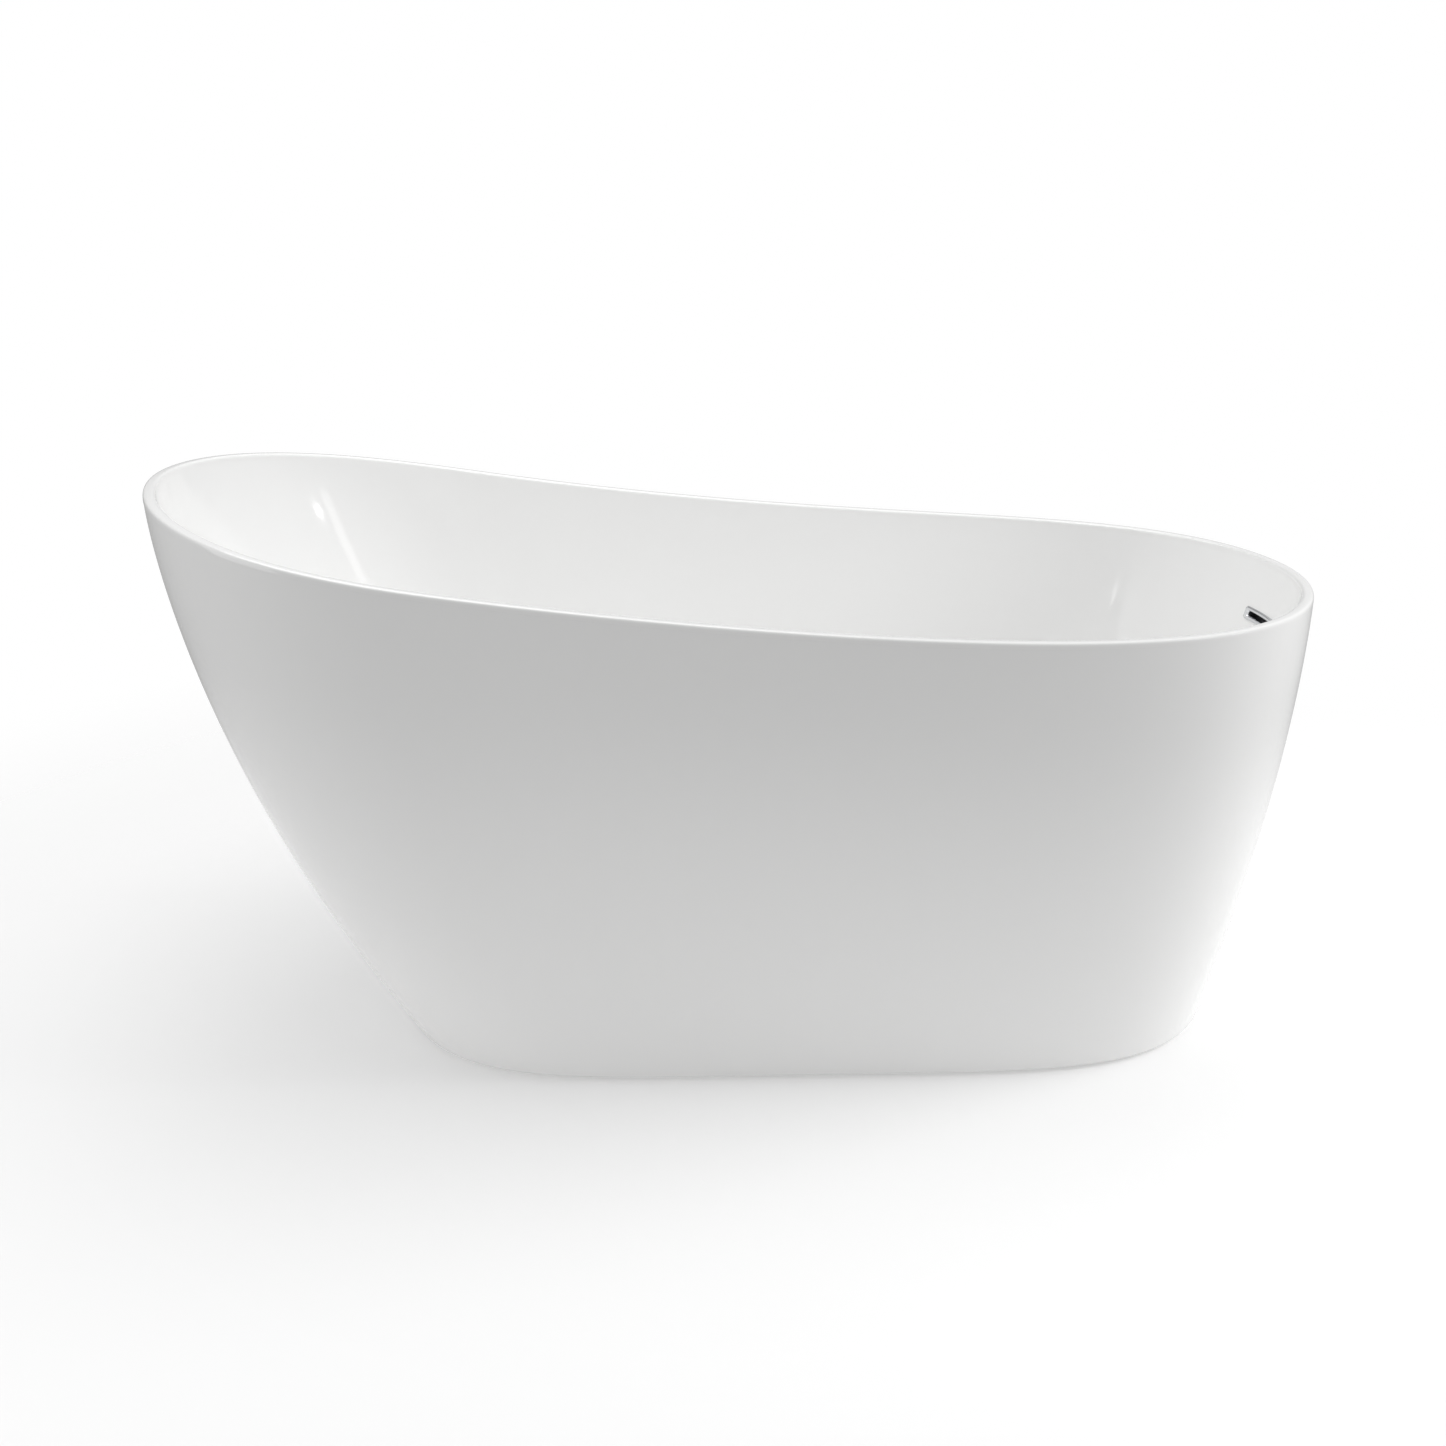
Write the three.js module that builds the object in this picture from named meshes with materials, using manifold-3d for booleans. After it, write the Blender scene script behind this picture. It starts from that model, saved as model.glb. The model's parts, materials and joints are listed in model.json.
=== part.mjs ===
// Freestanding slipper bathtub: an acrylic basin bonded into an outer skirt, on a steel frame with
// five levelling feet, with a slot overflow, its hose and a press-to-close drain.
// Millimetres, +Z up. The origin is on the floor below the middle of the tub.
// +X points to the low foot end, -X to the high head end, and +Y is across the tub.

import * as THREE from "three";
import { mergeVertices } from "three/addons/utils/BufferGeometryUtils.js";
import Module from "manifold-3d";

const wasm = await Module();
wasm.setup();

// ---------------------------------------------------------------- driving sizes

const TUB_LENGTH = 1500; // over the rim
const TUB_WIDTH = 745; // over the rim
const HEAD_HEIGHT = 720; // floor to the rim at the head end
const FOOT_HEIGHT = 578; // floor to the rim at the foot end
const RIM_FALL = 2.23; // power of the rim's fall from the head end to the foot end
const HEAD_OVERHANG = 295; // how far the rim stands out past the base at the head end
const FOOT_OVERHANG = 102;
const SIDE_OVERHANG = 68;
const RIM_WIDEST = -345; // where along the length the rim is widest
const BASE_WIDEST = 78;
const GAP = 0.3; // between pieces that touch

// Bulge of the skirt's ribs: 1 is a straight rib, more bends it upright towards the rim.
const HEAD_BULGE = 1.46;
const SIDE_BULGE = 2.2;
const FOOT_BULGE = 1.58;

// Squareness of the plan outlines along the sides, and roundness across the ends.
const RIM_SHAPE = { headSquare: 2.6, headRound: 1.95, footSquare: 6.0, footRound: 1.95 };
const BASE_SHAPE = { headSquare: 5.2, headRound: 2.1, footSquare: 5.2, footRound: 1.95 };
const FLOOR_SHAPE = { headSquare: 2.6, headRound: 2.2, footSquare: 3.0, footRound: 2.2 };

const COLUMNS = 56; // columns of facets around the tub
const SKIRT_ROWS = 7;
const WALL_ROWS = 12;

const BASIN_WALL = 5;
const SKIRT_WALL = 5;
const RIM_TOP = 15; // width of the rolled rim
const LIP_DROP = 8; // how far the lip comes down over the skirt's top edge
const SKIRT_CLEARANCE = 5; // from the floor to the skirt's bottom edge
const FLANGE_WIDTH = 32; // the skirt's inward return at the bottom
const FLANGE_THICKNESS = 5;

const FLOOR_HEIGHT = 150; // floor to the top of the basin's floor at its head end
const FLOOR_FALL = 3; // the basin floor's fall to the drain end
const FLOOR_LAMINATE = 5.5; // thickness under the drain's dish
const FLOOR_HEAD_INSET = 166; // from the base's outline to the basin floor's outline
const FLOOR_FOOT_INSET = 116;
const FLOOR_SIDE_INSET = 111;

const DRAIN_INSET = 100; // from the basin floor's foot end to the drain's axis
const DRAIN_HOLE = 24; // radius of the hole in the basin's floor
const DRAIN_CLEARANCE = 0.7; // between that hole and the threaded body
const DRAIN_WALL = 3.3; // of the threaded body
const DRAIN_LAP = 11; // how far the flange covers the floor round the hole
const DRAIN_FLANGE_THICKNESS = 3;
const DRAIN_BODY_LENGTH = 46; // below the flange
const DRAIN_CHAMFER = 3; // at the mouth of the bore
const DISH_MARGIN = 7; // the dish's flat beyond the flange
const DISH_DEPTH = 3;
const DISH_SLOPE = 2; // level run of the dish's side for each millimetre down
const SEAL_THICKNESS = 1.5;
const SEAL_INSET = 2; // of the gasket from the flange's edge
const WASHER_THICKNESS = 3.5;
const LOCK_NUT_HEIGHT = 10;
const LOCK_NUT_WALL = 12.4;
const SPIDER_BAR = 4; // width of the cross inside the threaded body
const SPIDER_HEIGHT = 8;
const SPIDER_RISE = 12; // from the body's lower end
const SPIDER_BOSS_WALL = 3;

const CAP_INSET = 4; // from the flange's edge to the cap's edge
const CAP_EDGE = 1;
const CAP_CROWN = 4.8;
const CAP_TRAVEL = 10;
const CAP_HUB_RADIUS = 6;
const CAP_HUB_DEPTH = 6;
const CAP_SKIRT = 4.5; // depth of the ring that carries the seal
const CAP_SKIRT_WALL = 2.2;
const CAP_SOCKET_DEPTH = 1.5; // how far the plunger's socket goes into the cap's disc
const CAP_SEAL_CLEARANCE = 0.5; // between the seal and the bore
const CAP_SEAL_WIDTH = 2.5;
const CAP_SEAL_HEIGHT = 3;
const CARTRIDGE_RADIUS = 6;
const CARTRIDGE_DOWN = 18; // from the flange's top
const CARTRIDGE_BELOW_SPIDER = 4;
const CARTRIDGE_FLOOR = 3;
const CARTRIDGE_COLLAR_WIDTH = 2;
const CARTRIDGE_COLLAR_HEIGHT = 3;
const PLUNGER_RADIUS = 3;
const PLUNGER_END_GAP = 1; // left under the plunger when the cap is down
const SPRING_RADIUS = 4.9;
const SPRING_WIRE = 1.2;
const SPRING_TURNS = 4;
const SPRING_STEPS = 8; // to a turn
const WASTE_THREAD_WALL = 4.4;
const WASTE_WALL = 3;
const WASTE_TAPER = 5; // height of the cone between the waste body's two widths

const OVERFLOW_DROP = 76; // from the foot end's rim to the overflow's middle
const SLOT_LENGTH = 140; // the opening that shows inside the trim
const SLOT_HEIGHT = 6;
const TRIM_END_MARGIN = 9; // from the opening's ends to the trim's ends
const TRIM_EDGE_MARGIN = 6;
const TRIM_THICKNESS = 2.5;
const COLLAR_WALL = 1.6;
const COLLAR_REACH = 3; // past the gasket, into the overflow's body
const OVERFLOW_BODY_DEPTH = 8.5;
const OVERFLOW_BODY_MARGIN = 6; // the body's edge beyond the trim's
const DUCT_WIDTH = 56;
const DUCT_WALL = 2;
const DUCT_GAP = 2; // from the back of the basin's wall
const DUCT_REAR_GAP = 4; // from the inside of the skirt
const DUCT_LEVELS = 8;
const LAYER_COLUMNS = 3;
const LAYER_ROWS = 6;
const DUCT_BOTTOM = 250; // from the foot end's rim down to the duct's lower end

const HOSE_RADIUS = 13;
const HOSE_WALL = 2;
const HOSE_BELOW_RAIL = 2.6;
const HOSE_PAST_RAIL = 4; // how far the hose stays level past the foot cross rail
const HOSE_END_GAP = 2.7; // from the hose's ends to the bodies it fits
const HOSE_SIDES = 10;
const HOSE_STEPS = 22;
const SPIGOT_WALL = 1.8;
const SPIGOT_LENGTH = 26;
const CLAMP_WIDTH = 10;
const CLAMP_THICKNESS = 1.2;
const CLAMP_HOUSING_WIDTH = 10;
const CLAMP_HOUSING_RISE = 6;
const OUTLET_RADIUS = 20; // a waste pipe of 40 mm
const OUTLET_WALL = 2;
const OUTLET_SOCKET = 20; // how deep the waste pipe's socket is
const OUTLET_BELOW_HOSE = 4; // from the hose's underside to the socket's top
const OUTLET_NUT_LIP = 3;
const OUTLET_NUT_WALL = 5;
const OUTLET_NUT_RISE = 12; // how far the nut covers the socket
const OUTLET_CLEARANCE = 8; // from the floor to the waste pipe's end

const BOARD_THICKNESS = 15;
const BOARD_INSET = 20; // from the basin floor's side to the board's edge
const BOARD_HEAD_INSET = 42;
const BOARD_CORNER = 80;
const BOARD_DRAIN_GAP = 62; // from the board's end to the drain's axis
const RAIL = 25; // square tube
const RAIL_WALL = 2;
const RAIL_INSET = 40; // from the basin floor's side to a side rail's middle
const HEAD_RAIL_INSET = 146; // from the base's end to the cross rail's middle
const FOOT_RAIL_INSET = 136;
const RAIL_END_GAP = 12; // from the skirt's inner face to a cross rail's end
const FOOT_FROM_RAIL_END = 48;
const FOOT_CLEARANCE = 1; // least gap between a foot pad and the skirt's flange
const BRACKET_WIDTH = 34;
const BRACKET_TAB = 20;
const BRACKET_THICKNESS = 2.5;
const SCREW_RADIUS = 2.5;
const SCREW_HEAD = 5;
const SCREW_HEAD_HEIGHT = 3;
const SCREW_SIDES = 8;
const SCREW_CLEARANCE = 0.5;
const SCREW_PAST_WALL = 4; // how far a screw or bolt comes out of the tube wall it holds
const FRAME_BOLT_RADIUS = 3;
const FRAME_BOLT_HEAD = 6.5;
const FRAME_BOLT_HEAD_HEIGHT = 4;

const STUD_RADIUS = 6;
const STUD_CLEARANCE = 0.4;
const STUD_ABOVE_RAIL = 17; // from the cross rail's underside to the stud's top
const WELD_NUT_HEIGHT = 10;
const WELD_NUT_RADIUS = 11;
const STUD_COLLAR_HEIGHT = 6;
const STUD_COLLAR_RADIUS = 10;
const PAD_RADIUS = 22;
const PAD_HEIGHT = 14;
const PAD_SOCKET = 9; // depth

// ---------------------------------------------------------------- levels and outlines

const halfLength = TUB_LENGTH / 2;
const rimOutline = {
  head: halfLength,
  foot: halfLength,
  half: TUB_WIDTH / 2,
  widest: RIM_WIDEST,
  ...RIM_SHAPE,
};
const baseOutline = {
  head: halfLength - HEAD_OVERHANG,
  foot: halfLength - FOOT_OVERHANG,
  half: TUB_WIDTH / 2 - SIDE_OVERHANG,
  widest: BASE_WIDEST,
  ...BASE_SHAPE,
};
const floorOutline = {
  head: baseOutline.head - FLOOR_HEAD_INSET,
  foot: baseOutline.foot - FLOOR_FOOT_INSET,
  half: baseOutline.half - FLOOR_SIDE_INSET,
  widest: (baseOutline.foot - FLOOR_FOOT_INSET - baseOutline.head + FLOOR_HEAD_INSET) / 2,
  ...FLOOR_SHAPE,
};

const drainX = floorOutline.foot - DRAIN_INSET;
const dishLevel = FLOOR_HEIGHT - FLOOR_FALL - DISH_DEPTH;
const underside = dishLevel - FLOOR_LAMINATE;
const boardTop = underside - GAP;
const sideRailTop = boardTop - BOARD_THICKNESS - GAP;
const crossRailTop = sideRailTop - RAIL - GAP;
const crossRailBottom = crossRailTop - RAIL;
const flangeTop = SKIRT_CLEARANCE + FLANGE_THICKNESS;
const sideRailY = floorOutline.half - RAIL_INSET;
const overflowLevel = FOOT_HEIGHT - OVERFLOW_DROP;
const collarLength = SLOT_LENGTH + 2 * COLLAR_WALL;
const collarHeight = SLOT_HEIGHT + 2 * COLLAR_WALL;
const collarDepth = BASIN_WALL + SEAL_THICKNESS + COLLAR_REACH;
const trimLength = SLOT_LENGTH + 2 * TRIM_END_MARGIN;
const trimHeight = SLOT_HEIGHT + 2 * TRIM_EDGE_MARGIN;
const spigotRadius = (HOSE_RADIUS - HOSE_WALL) * Math.cos(Math.PI / HOSE_SIDES) - GAP;
const hoseLevel = crossRailBottom - HOSE_RADIUS - HOSE_BELOW_RAIL;
const headRailX = HEAD_RAIL_INSET - baseOutline.head;
const footRailX = baseOutline.foot - FOOT_RAIL_INSET;
const midRailX = (headRailX + footRailX) / 2;
const crossRailPlaces = [headRailX, midRailX, footRailX];
const boardHeadX = BOARD_HEAD_INSET - floorOutline.head;
const boardFootX = drainX - BOARD_DRAIN_GAP;

// Radii of the drain.
const drainBodyRadius = DRAIN_HOLE - DRAIN_CLEARANCE;
const drainBoreRadius = drainBodyRadius - DRAIN_WALL;
const drainFlangeRadius = DRAIN_HOLE + DRAIN_LAP;
const dishRadius = drainFlangeRadius + DISH_MARGIN;
const threadRadius = drainBodyRadius + GAP;
const lockNutRadius = threadRadius + LOCK_NUT_WALL;
const wasteRadius = threadRadius + WASTE_THREAD_WALL;
const capRadius = drainFlangeRadius - CAP_INSET;
const capSealOuter = drainBoreRadius - CAP_SEAL_CLEARANCE;
const capSealInner = capSealOuter - CAP_SEAL_WIDTH;
const socketRadius = OUTLET_RADIUS + GAP;

// Levels down the drain.
const flangeBottom = dishLevel + SEAL_THICKNESS + 2 * GAP;
const flangeUpper = flangeBottom + DRAIN_FLANGE_THICKNESS;
const drainBodyBottom = flangeBottom - DRAIN_BODY_LENGTH;
const washerTop = underside - GAP;
const lockNutTop = washerTop - WASHER_THICKNESS - GAP;
const wasteTop = lockNutTop - LOCK_NUT_HEIGHT - GAP;
const capUnder = flangeUpper + GAP + CAP_TRAVEL;
const spiderLow = drainBodyBottom + SPIDER_RISE;
const spiderHigh = spiderLow + SPIDER_HEIGHT;
const cartridgeBottom = spiderLow - CARTRIDGE_BELOW_SPIDER;
const cartridgeTop = flangeUpper - CARTRIDGE_DOWN;
const boreBottom = cartridgeBottom + CARTRIDGE_FLOOR;
const plungerBottom = boreBottom + CAP_TRAVEL + PLUNGER_END_GAP;
const hubBottom = capUnder - CAP_HUB_DEPTH;
const socketTop = hoseLevel - HOSE_RADIUS - OUTLET_BELOW_HOSE;
const socketBottom = socketTop - OUTLET_SOCKET;

// ---------------------------------------------------------------- materials

function material(colour, roughness, metalness) {
  return new THREE.MeshStandardMaterial({ color: colour, roughness, metalness });
}

const acrylic = material(0xf4f4f3, 0.12, 0);
const chrome = material(0xd9dadc, 0.08, 1);
const steel = material(0xb4b7ba, 0.38, 1);
const plywood = material(0xc79b63, 0.75, 0);
const rubber = material(0x1d1d1f, 0.8, 0);
const blackPlastic = material(0x2a2b2d, 0.5, 0);
const whitePlastic = material(0xe6e6e2, 0.4, 0);
const brass = material(0xc9a44c, 0.3, 1);

// ---------------------------------------------------------------- solids and meshes

const tub = new THREE.Group();

function addMesh(name, geometry, look, place = [0, 0, 0]) {
  const mesh = new THREE.Mesh(geometry, look);
  mesh.name = name;
  mesh.position.set(...place);
  tub.add(mesh);
  return mesh;
}

function solidOf(geometry) {
  const bare = geometry.index ? geometry.toNonIndexed() : geometry.clone();
  bare.deleteAttribute("normal");
  bare.deleteAttribute("uv");
  const merged = mergeVertices(bare, 1e-3);
  const vertProperties = merged.attributes.position.array;
  const triVerts = new Uint32Array(merged.index.array);
  return new wasm.Manifold(new wasm.Mesh({ numProp: 3, vertProperties, triVerts }));
}

function geometryOf(solid) {
  const mesh = solid.getMesh();
  const geometry = new THREE.BufferGeometry();
  geometry.setAttribute("position", new THREE.BufferAttribute(new Float32Array(mesh.vertProperties), 3));
  geometry.setIndex(new THREE.BufferAttribute(new Uint32Array(mesh.triVerts), 1));
  geometry.computeVertexNormals();
  return geometry;
}

// Joins the first list of geometries and cuts the second list away.
function shaped(joined, cut = []) {
  let solid = solidOf(joined[0]);
  for (const geometry of joined.slice(1)) solid = solid.add(solidOf(geometry));
  for (const geometry of cut) solid = solid.subtract(solidOf(geometry));
  return geometryOf(solid);
}

function common(first, second) {
  return geometryOf(solidOf(first).intersect(solidOf(second)));
}

function box(low, high) {
  const size = high.map((value, axis) => value - low[axis]);
  const middle = high.map((value, axis) => (value + low[axis]) / 2);
  return new THREE.BoxGeometry(...size).translate(...middle);
}

// A solid turned about the vertical axis from a closed list of [radius, height] points.
function turned(profile, sides = 24) {
  const points = profile.map(([radius, height]) => new THREE.Vector2(radius, height));
  if (profile[0][0] > 0) points.push(points[0].clone());
  return new THREE.LatheGeometry(points, sides).rotateX(Math.PI / 2);
}

function rod(radius, low, high, sides = 12) {
  return turned([[0, low], [radius, low], [radius, high], [0, high]], sides);
}

function tubeRing(inner, outer, low, high, sides = 24) {
  return turned([[inner, low], [outer, low], [outer, high], [inner, high]], sides);
}

// A stadium outline extruded along X, centred on the middle of the overflow.
function slotPrism(length, height, low, high) {
  const half = (length - height) / 2;
  const shape = new THREE.Shape();
  shape.absarc(half, 0, height / 2, -Math.PI / 2, Math.PI / 2, false);
  shape.absarc(-half, 0, height / 2, Math.PI / 2, (3 * Math.PI) / 2, false);
  const prism = new THREE.ExtrudeGeometry(shape, {
    depth: high - low,
    bevelEnabled: false,
    curveSegments: 7,
  });
  prism.rotateX(Math.PI / 2);
  prism.rotateZ(Math.PI / 2);
  return prism.translate(low, 0, overflowLevel);
}

// ---------------------------------------------------------------- the tub's surfaces

function power(value, exponent) {
  return Math.sign(value) * Math.abs(value) ** exponent;
}

// A point of a plan outline: a superellipse with its own shape on each side of its widest line.
function outlinePoint(outline, angle) {
  const c = Math.cos(angle);
  const atHead = c < 0;
  const square = atHead ? outline.headSquare : outline.footSquare;
  const round = atHead ? outline.headRound : outline.footRound;
  const reach = atHead ? outline.widest + outline.head : outline.foot - outline.widest;
  const x = outline.widest + reach * power(c, 2 / square);
  const y = outline.half * power(Math.sin(angle), 2 / round);
  return new THREE.Vector2(x, y);
}

// Angles that space the columns evenly along the rim, the same on both sides of the tub.
// The fine angles crowd towards the two ends, where a small turn goes a long way round.
function evenAngles(count) {
  const fine = [];
  const steps = 600;
  for (let step = 0; step <= steps; step += 1) {
    const share = step / steps;
    fine.push(Math.PI * share);
    fine.push(Math.acos(share ** 3));
    fine.push(Math.PI - Math.acos(share ** 3));
  }
  fine.sort((a, b) => a - b);
  const along = [0];
  for (let step = 1; step < fine.length; step += 1) {
    const before = outlinePoint(rimOutline, fine[step - 1]);
    along.push(along[step - 1] + before.distanceTo(outlinePoint(rimOutline, fine[step])));
  }
  const total = along[along.length - 1];
  const half = [];
  for (let column = 0; column <= count / 2; column += 1) {
    const target = (total * column * 2) / count;
    const after = Math.max(1, along.findIndex((value) => value >= target - 1e-9));
    const span = along[after] - along[after - 1] || 1;
    half.push(fine[after - 1] + ((fine[after] - fine[after - 1]) * (target - along[after - 1])) / span);
  }
  const back = half.slice(1, -1).reverse().map((angle) => 2 * Math.PI - angle);
  return [...half, ...back];
}

const angles = evenAngles(COLUMNS);

function rimHeight(x) {
  const fall = Math.max(0, 1 - (x + halfLength) / TUB_LENGTH) ** RIM_FALL;
  return FOOT_HEIGHT + (HEAD_HEIGHT - FOOT_HEIGHT) * fall;
}

// Blends a value from the sides of the tub to its head or foot end.
function around(angle, side, head, foot) {
  const c = Math.cos(angle);
  return side + ((c < 0 ? head : foot) - side) * c * c;
}

// The skirt's outer surface: each rib bends from the base outline to the rim outline.
function skirtPoint(angle, z) {
  const rim = outlinePoint(rimOutline, angle);
  const base = outlinePoint(baseOutline, angle);
  const bulge = around(angle, SIDE_BULGE, HEAD_BULGE, FOOT_BULGE);
  const share = z / rimHeight(rim.x);
  const out = 1 - (1 - share) ** bulge;
  const at = base.lerp(rim, out);
  return new THREE.Vector3(at.x, at.y, z);
}

// The level unit vector that points out of an outline.
function outwards(outline, angle) {
  const step = 1e-4;
  const along = outlinePoint(outline, angle + step).sub(outlinePoint(outline, angle - step)).normalize();
  return new THREE.Vector3(along.y, -along.x, 0);
}

// A point of the rim's section: inset is level, from the outside in, and drop is down from the top.
function rimPoint(angle, inset, drop) {
  const edge = outlinePoint(rimOutline, angle);
  const out = outwards(rimOutline, angle);
  return new THREE.Vector3(edge.x - out.x * inset, edge.y - out.y * inset, rimHeight(edge.x) - drop);
}

function floorLevel(x) {
  const share = (x + floorOutline.head) / (floorOutline.foot + floorOutline.head);
  return FLOOR_HEIGHT - FLOOR_FALL * share;
}

// The four points of the inner wall's cubic curve, from the rim down to the basin's floor.
function wallCurve(angle) {
  const top = rimPoint(angle, RIM_TOP, RIM_TOP / 2);
  const plan = outlinePoint(floorOutline, angle);
  const bottom = new THREE.Vector3(plan.x, plan.y, floorLevel(plan.x));
  const outward = top.clone().sub(bottom).setZ(0);
  const drop = (top.z - bottom.z) * around(angle, 0.36, 0.3, 0.36);
  const lean = outward.clone().normalize().multiplyScalar(-drop * around(angle, 0.1, 0.12, 0.2));
  const upper = top.clone().add(lean).add(new THREE.Vector3(0, 0, -drop));
  const lower = bottom.clone().addScaledVector(outward, around(angle, 0.5, 0.56, 0.5));
  return new THREE.CubicBezierCurve3(top, upper, lower, bottom);
}

function wallPoint(angle, share) {
  return wallCurve(angle).getPoint(share);
}

// The unit vector out of the water, square to the inner wall.
function wallNormal(angle, share) {
  const step = 1e-3;
  const across = wallPoint(angle + step, share).sub(wallPoint(angle - step, share));
  const low = Math.max(share - step, 0);
  const high = Math.min(share + step, 1);
  const down = wallPoint(angle, high).sub(wallPoint(angle, low));
  return down.cross(across).normalize();
}

function wallOffset(angle, share, distance) {
  return wallPoint(angle, share).addScaledVector(wallNormal(angle, share), distance);
}

// ---------------------------------------------------------------- shells from rings of points

// Joins rings of points, all of one length, into a closed skin that also closes last to first.
function skinOfRings(rings) {
  const count = rings[0].length;
  const positions = rings.flatMap((ring) => ring.flatMap((point) => point.toArray()));
  const index = [];
  rings.forEach((ring, row) => {
    const here = row * count;
    const next = ((row + 1) % rings.length) * count;
    for (let column = 0; column < count; column += 1) {
      const beside = (column + 1) % count;
      index.push(here + column, here + beside, next + beside);
      index.push(here + column, next + beside, next + column);
    }
  });
  const geometry = new THREE.BufferGeometry();
  geometry.setAttribute("position", new THREE.Float32BufferAttribute(positions, 3));
  geometry.setIndex(index);
  return geometry;
}

function ring(pointAt) {
  return angles.map((angle, column) => pointAt(angle, column));
}

function rows(count, rowAt) {
  return Array.from({ length: count + 1 }, (_, row) => rowAt(row / count));
}

// A ring round the drain, each point in line with the floor's edge as seen from the drain.
function drainRing(radius, level) {
  return ring((angle) => {
    const edge = outlinePoint(floorOutline, angle);
    const turn = Math.atan2(edge.y, edge.x - drainX);
    return new THREE.Vector3(drainX + radius * Math.cos(turn), radius * Math.sin(turn), level);
  });
}

// The rows crowd towards the rim and the floor, where the wall bends most.
function wallShare(share) {
  return share - 0.06 * Math.sin(2 * Math.PI * share);
}

// Back of the basin wall. It thickens into the level laminate under the floor.
function backPoint(angle, share) {
  const bottom = wallPoint(angle, 1);
  const extra = bottom.z - underside - BASIN_WALL;
  const thickness = BASIN_WALL + extra * Math.max(0, (share - 0.75) / 0.25) ** 2;
  return wallOffset(angle, share, thickness);
}

function basinRings() {
  const lip = rows(6, (share) => {
    const turn = Math.PI * share;
    const inset = (RIM_TOP / 2) * (1 - Math.cos(turn));
    const drop = (RIM_TOP / 2) * (1 - Math.sin(turn));
    return ring((angle) => rimPoint(angle, inset, drop));
  });
  const inner = rows(WALL_ROWS, (share) => ring((angle) => wallPoint(angle, wallShare(share)))).slice(1);
  const back = rows(WALL_ROWS, (share) => ring((angle) => backPoint(angle, wallShare(share)))).slice(1);
  return [
    ring((angle) => rimPoint(angle, 0, LIP_DROP)),
    ...lip,
    ...inner,
    drainRing(dishRadius + DISH_SLOPE * DISH_DEPTH, floorLevel(drainX)),
    drainRing(dishRadius, dishLevel),
    drainRing(DRAIN_HOLE / 2, dishLevel),
    drainRing(DRAIN_HOLE / 2, underside),
    ...back.reverse(),
    ring((angle) => rimPoint(angle, RIM_TOP - BASIN_WALL, LIP_DROP)),
  ];
}

function basin() {
  const slot = slotPrism(collarLength + 2 * GAP, collarHeight + 2 * GAP, 0, halfLength);
  const drainHole = rod(DRAIN_HOLE, underside - 1, dishLevel + 1, 32).translate(drainX, 0, 0);
  return shaped([skinOfRings(basinRings())], [slot, drainHole]);
}

// A skirt point moved inwards, square to the skirt's outline at that level.
function skirtInner(angle, z, inset) {
  const step = 1e-4;
  const along = skirtPoint(angle + step, z).sub(skirtPoint(angle - step, z)).normalize();
  return skirtPoint(angle, z).add(new THREE.Vector3(-along.y, along.x, 0).multiplyScalar(inset));
}

function skirt() {
  const topAt = (angle) => rimHeight(outlinePoint(rimOutline, angle).x) - LIP_DROP - GAP;
  const levelAt = (angle, low, share) => low + (topAt(angle) - low) * share;
  const outer = rows(SKIRT_ROWS, (share) =>
    ring((angle) => skirtPoint(angle, levelAt(angle, SKIRT_CLEARANCE, share))),
  );
  const inner = rows(SKIRT_ROWS, (share) =>
    ring((angle) => skirtInner(angle, levelAt(angle, flangeTop, share), SKIRT_WALL)),
  );
  const flange = [flangeTop, SKIRT_CLEARANCE].map((level) =>
    ring((angle) => skirtInner(angle, level, SKIRT_WALL + FLANGE_WIDTH)),
  );
  return skinOfRings([...outer, ...inner.reverse(), ...flange]);
}

// ---------------------------------------------------------------- steel frame and base board

function halfWidthAt(outline, x) {
  const atHead = x < outline.widest;
  const reach = atHead ? outline.widest + outline.head : outline.foot - outline.widest;
  const square = atHead ? outline.headSquare : outline.footSquare;
  const round = atHead ? outline.headRound : outline.footRound;
  const share = Math.abs(x - outline.widest) / reach;
  return outline.half * (1 - share ** square) ** (1 / round);
}

function crossRailHalf(x) {
  const edges = [x - RAIL / 2, x + RAIL / 2];
  const narrowest = Math.min(...edges.map((edge) => halfWidthAt(baseOutline, edge)));
  return narrowest - SKIRT_WALL - RAIL_END_GAP;
}

// How far a point is in plan from the skirt's outline at the level of its bottom edge.
function distanceToSkirt(x, y) {
  const point = new THREE.Vector3(x, y, SKIRT_CLEARANCE);
  const edge = ring((angle) => skirtPoint(angle, SKIRT_CLEARANCE));
  const nearest = new THREE.Vector3();
  const distances = edge.map((corner, column) => {
    const side = new THREE.Line3(corner, edge[(column + 1) % edge.length]);
    return side.closestPointToPoint(point, true, nearest).distanceTo(point);
  });
  return Math.min(...distances);
}

// Where each foot stands along a cross rail: in from its end, and clear of the skirt's flange.
function footPlacesY(x) {
  const clear = SKIRT_WALL + FLANGE_WIDTH + PAD_RADIUS + FOOT_CLEARANCE;
  let y = crossRailHalf(x) - FOOT_FROM_RAIL_END;
  for (let step = 0; step < 20; step += 1) y -= Math.max(0, clear - distanceToSkirt(x, y));
  return x === midRailX ? [0] : [-y, y];
}

// Each bracket as [x of its cross rail, side of the tub].
const bracketPlaces = [headRailX, footRailX].flatMap((x) => [[x, -1], [x, 1]]);

function bracketScrewY(x) {
  return crossRailHalf(x) - BRACKET_TAB * 0.6;
}

// An upright hole for a screw or bolt of that radius.
function fastenerHole(radius, low, high, x, y) {
  return rod(radius + SCREW_CLEARANCE, low, high, SCREW_SIDES).translate(x, y, 0);
}

const boardScrewX = [(headRailX + midRailX) / 2, (midRailX + boardFootX) / 2];

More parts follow.
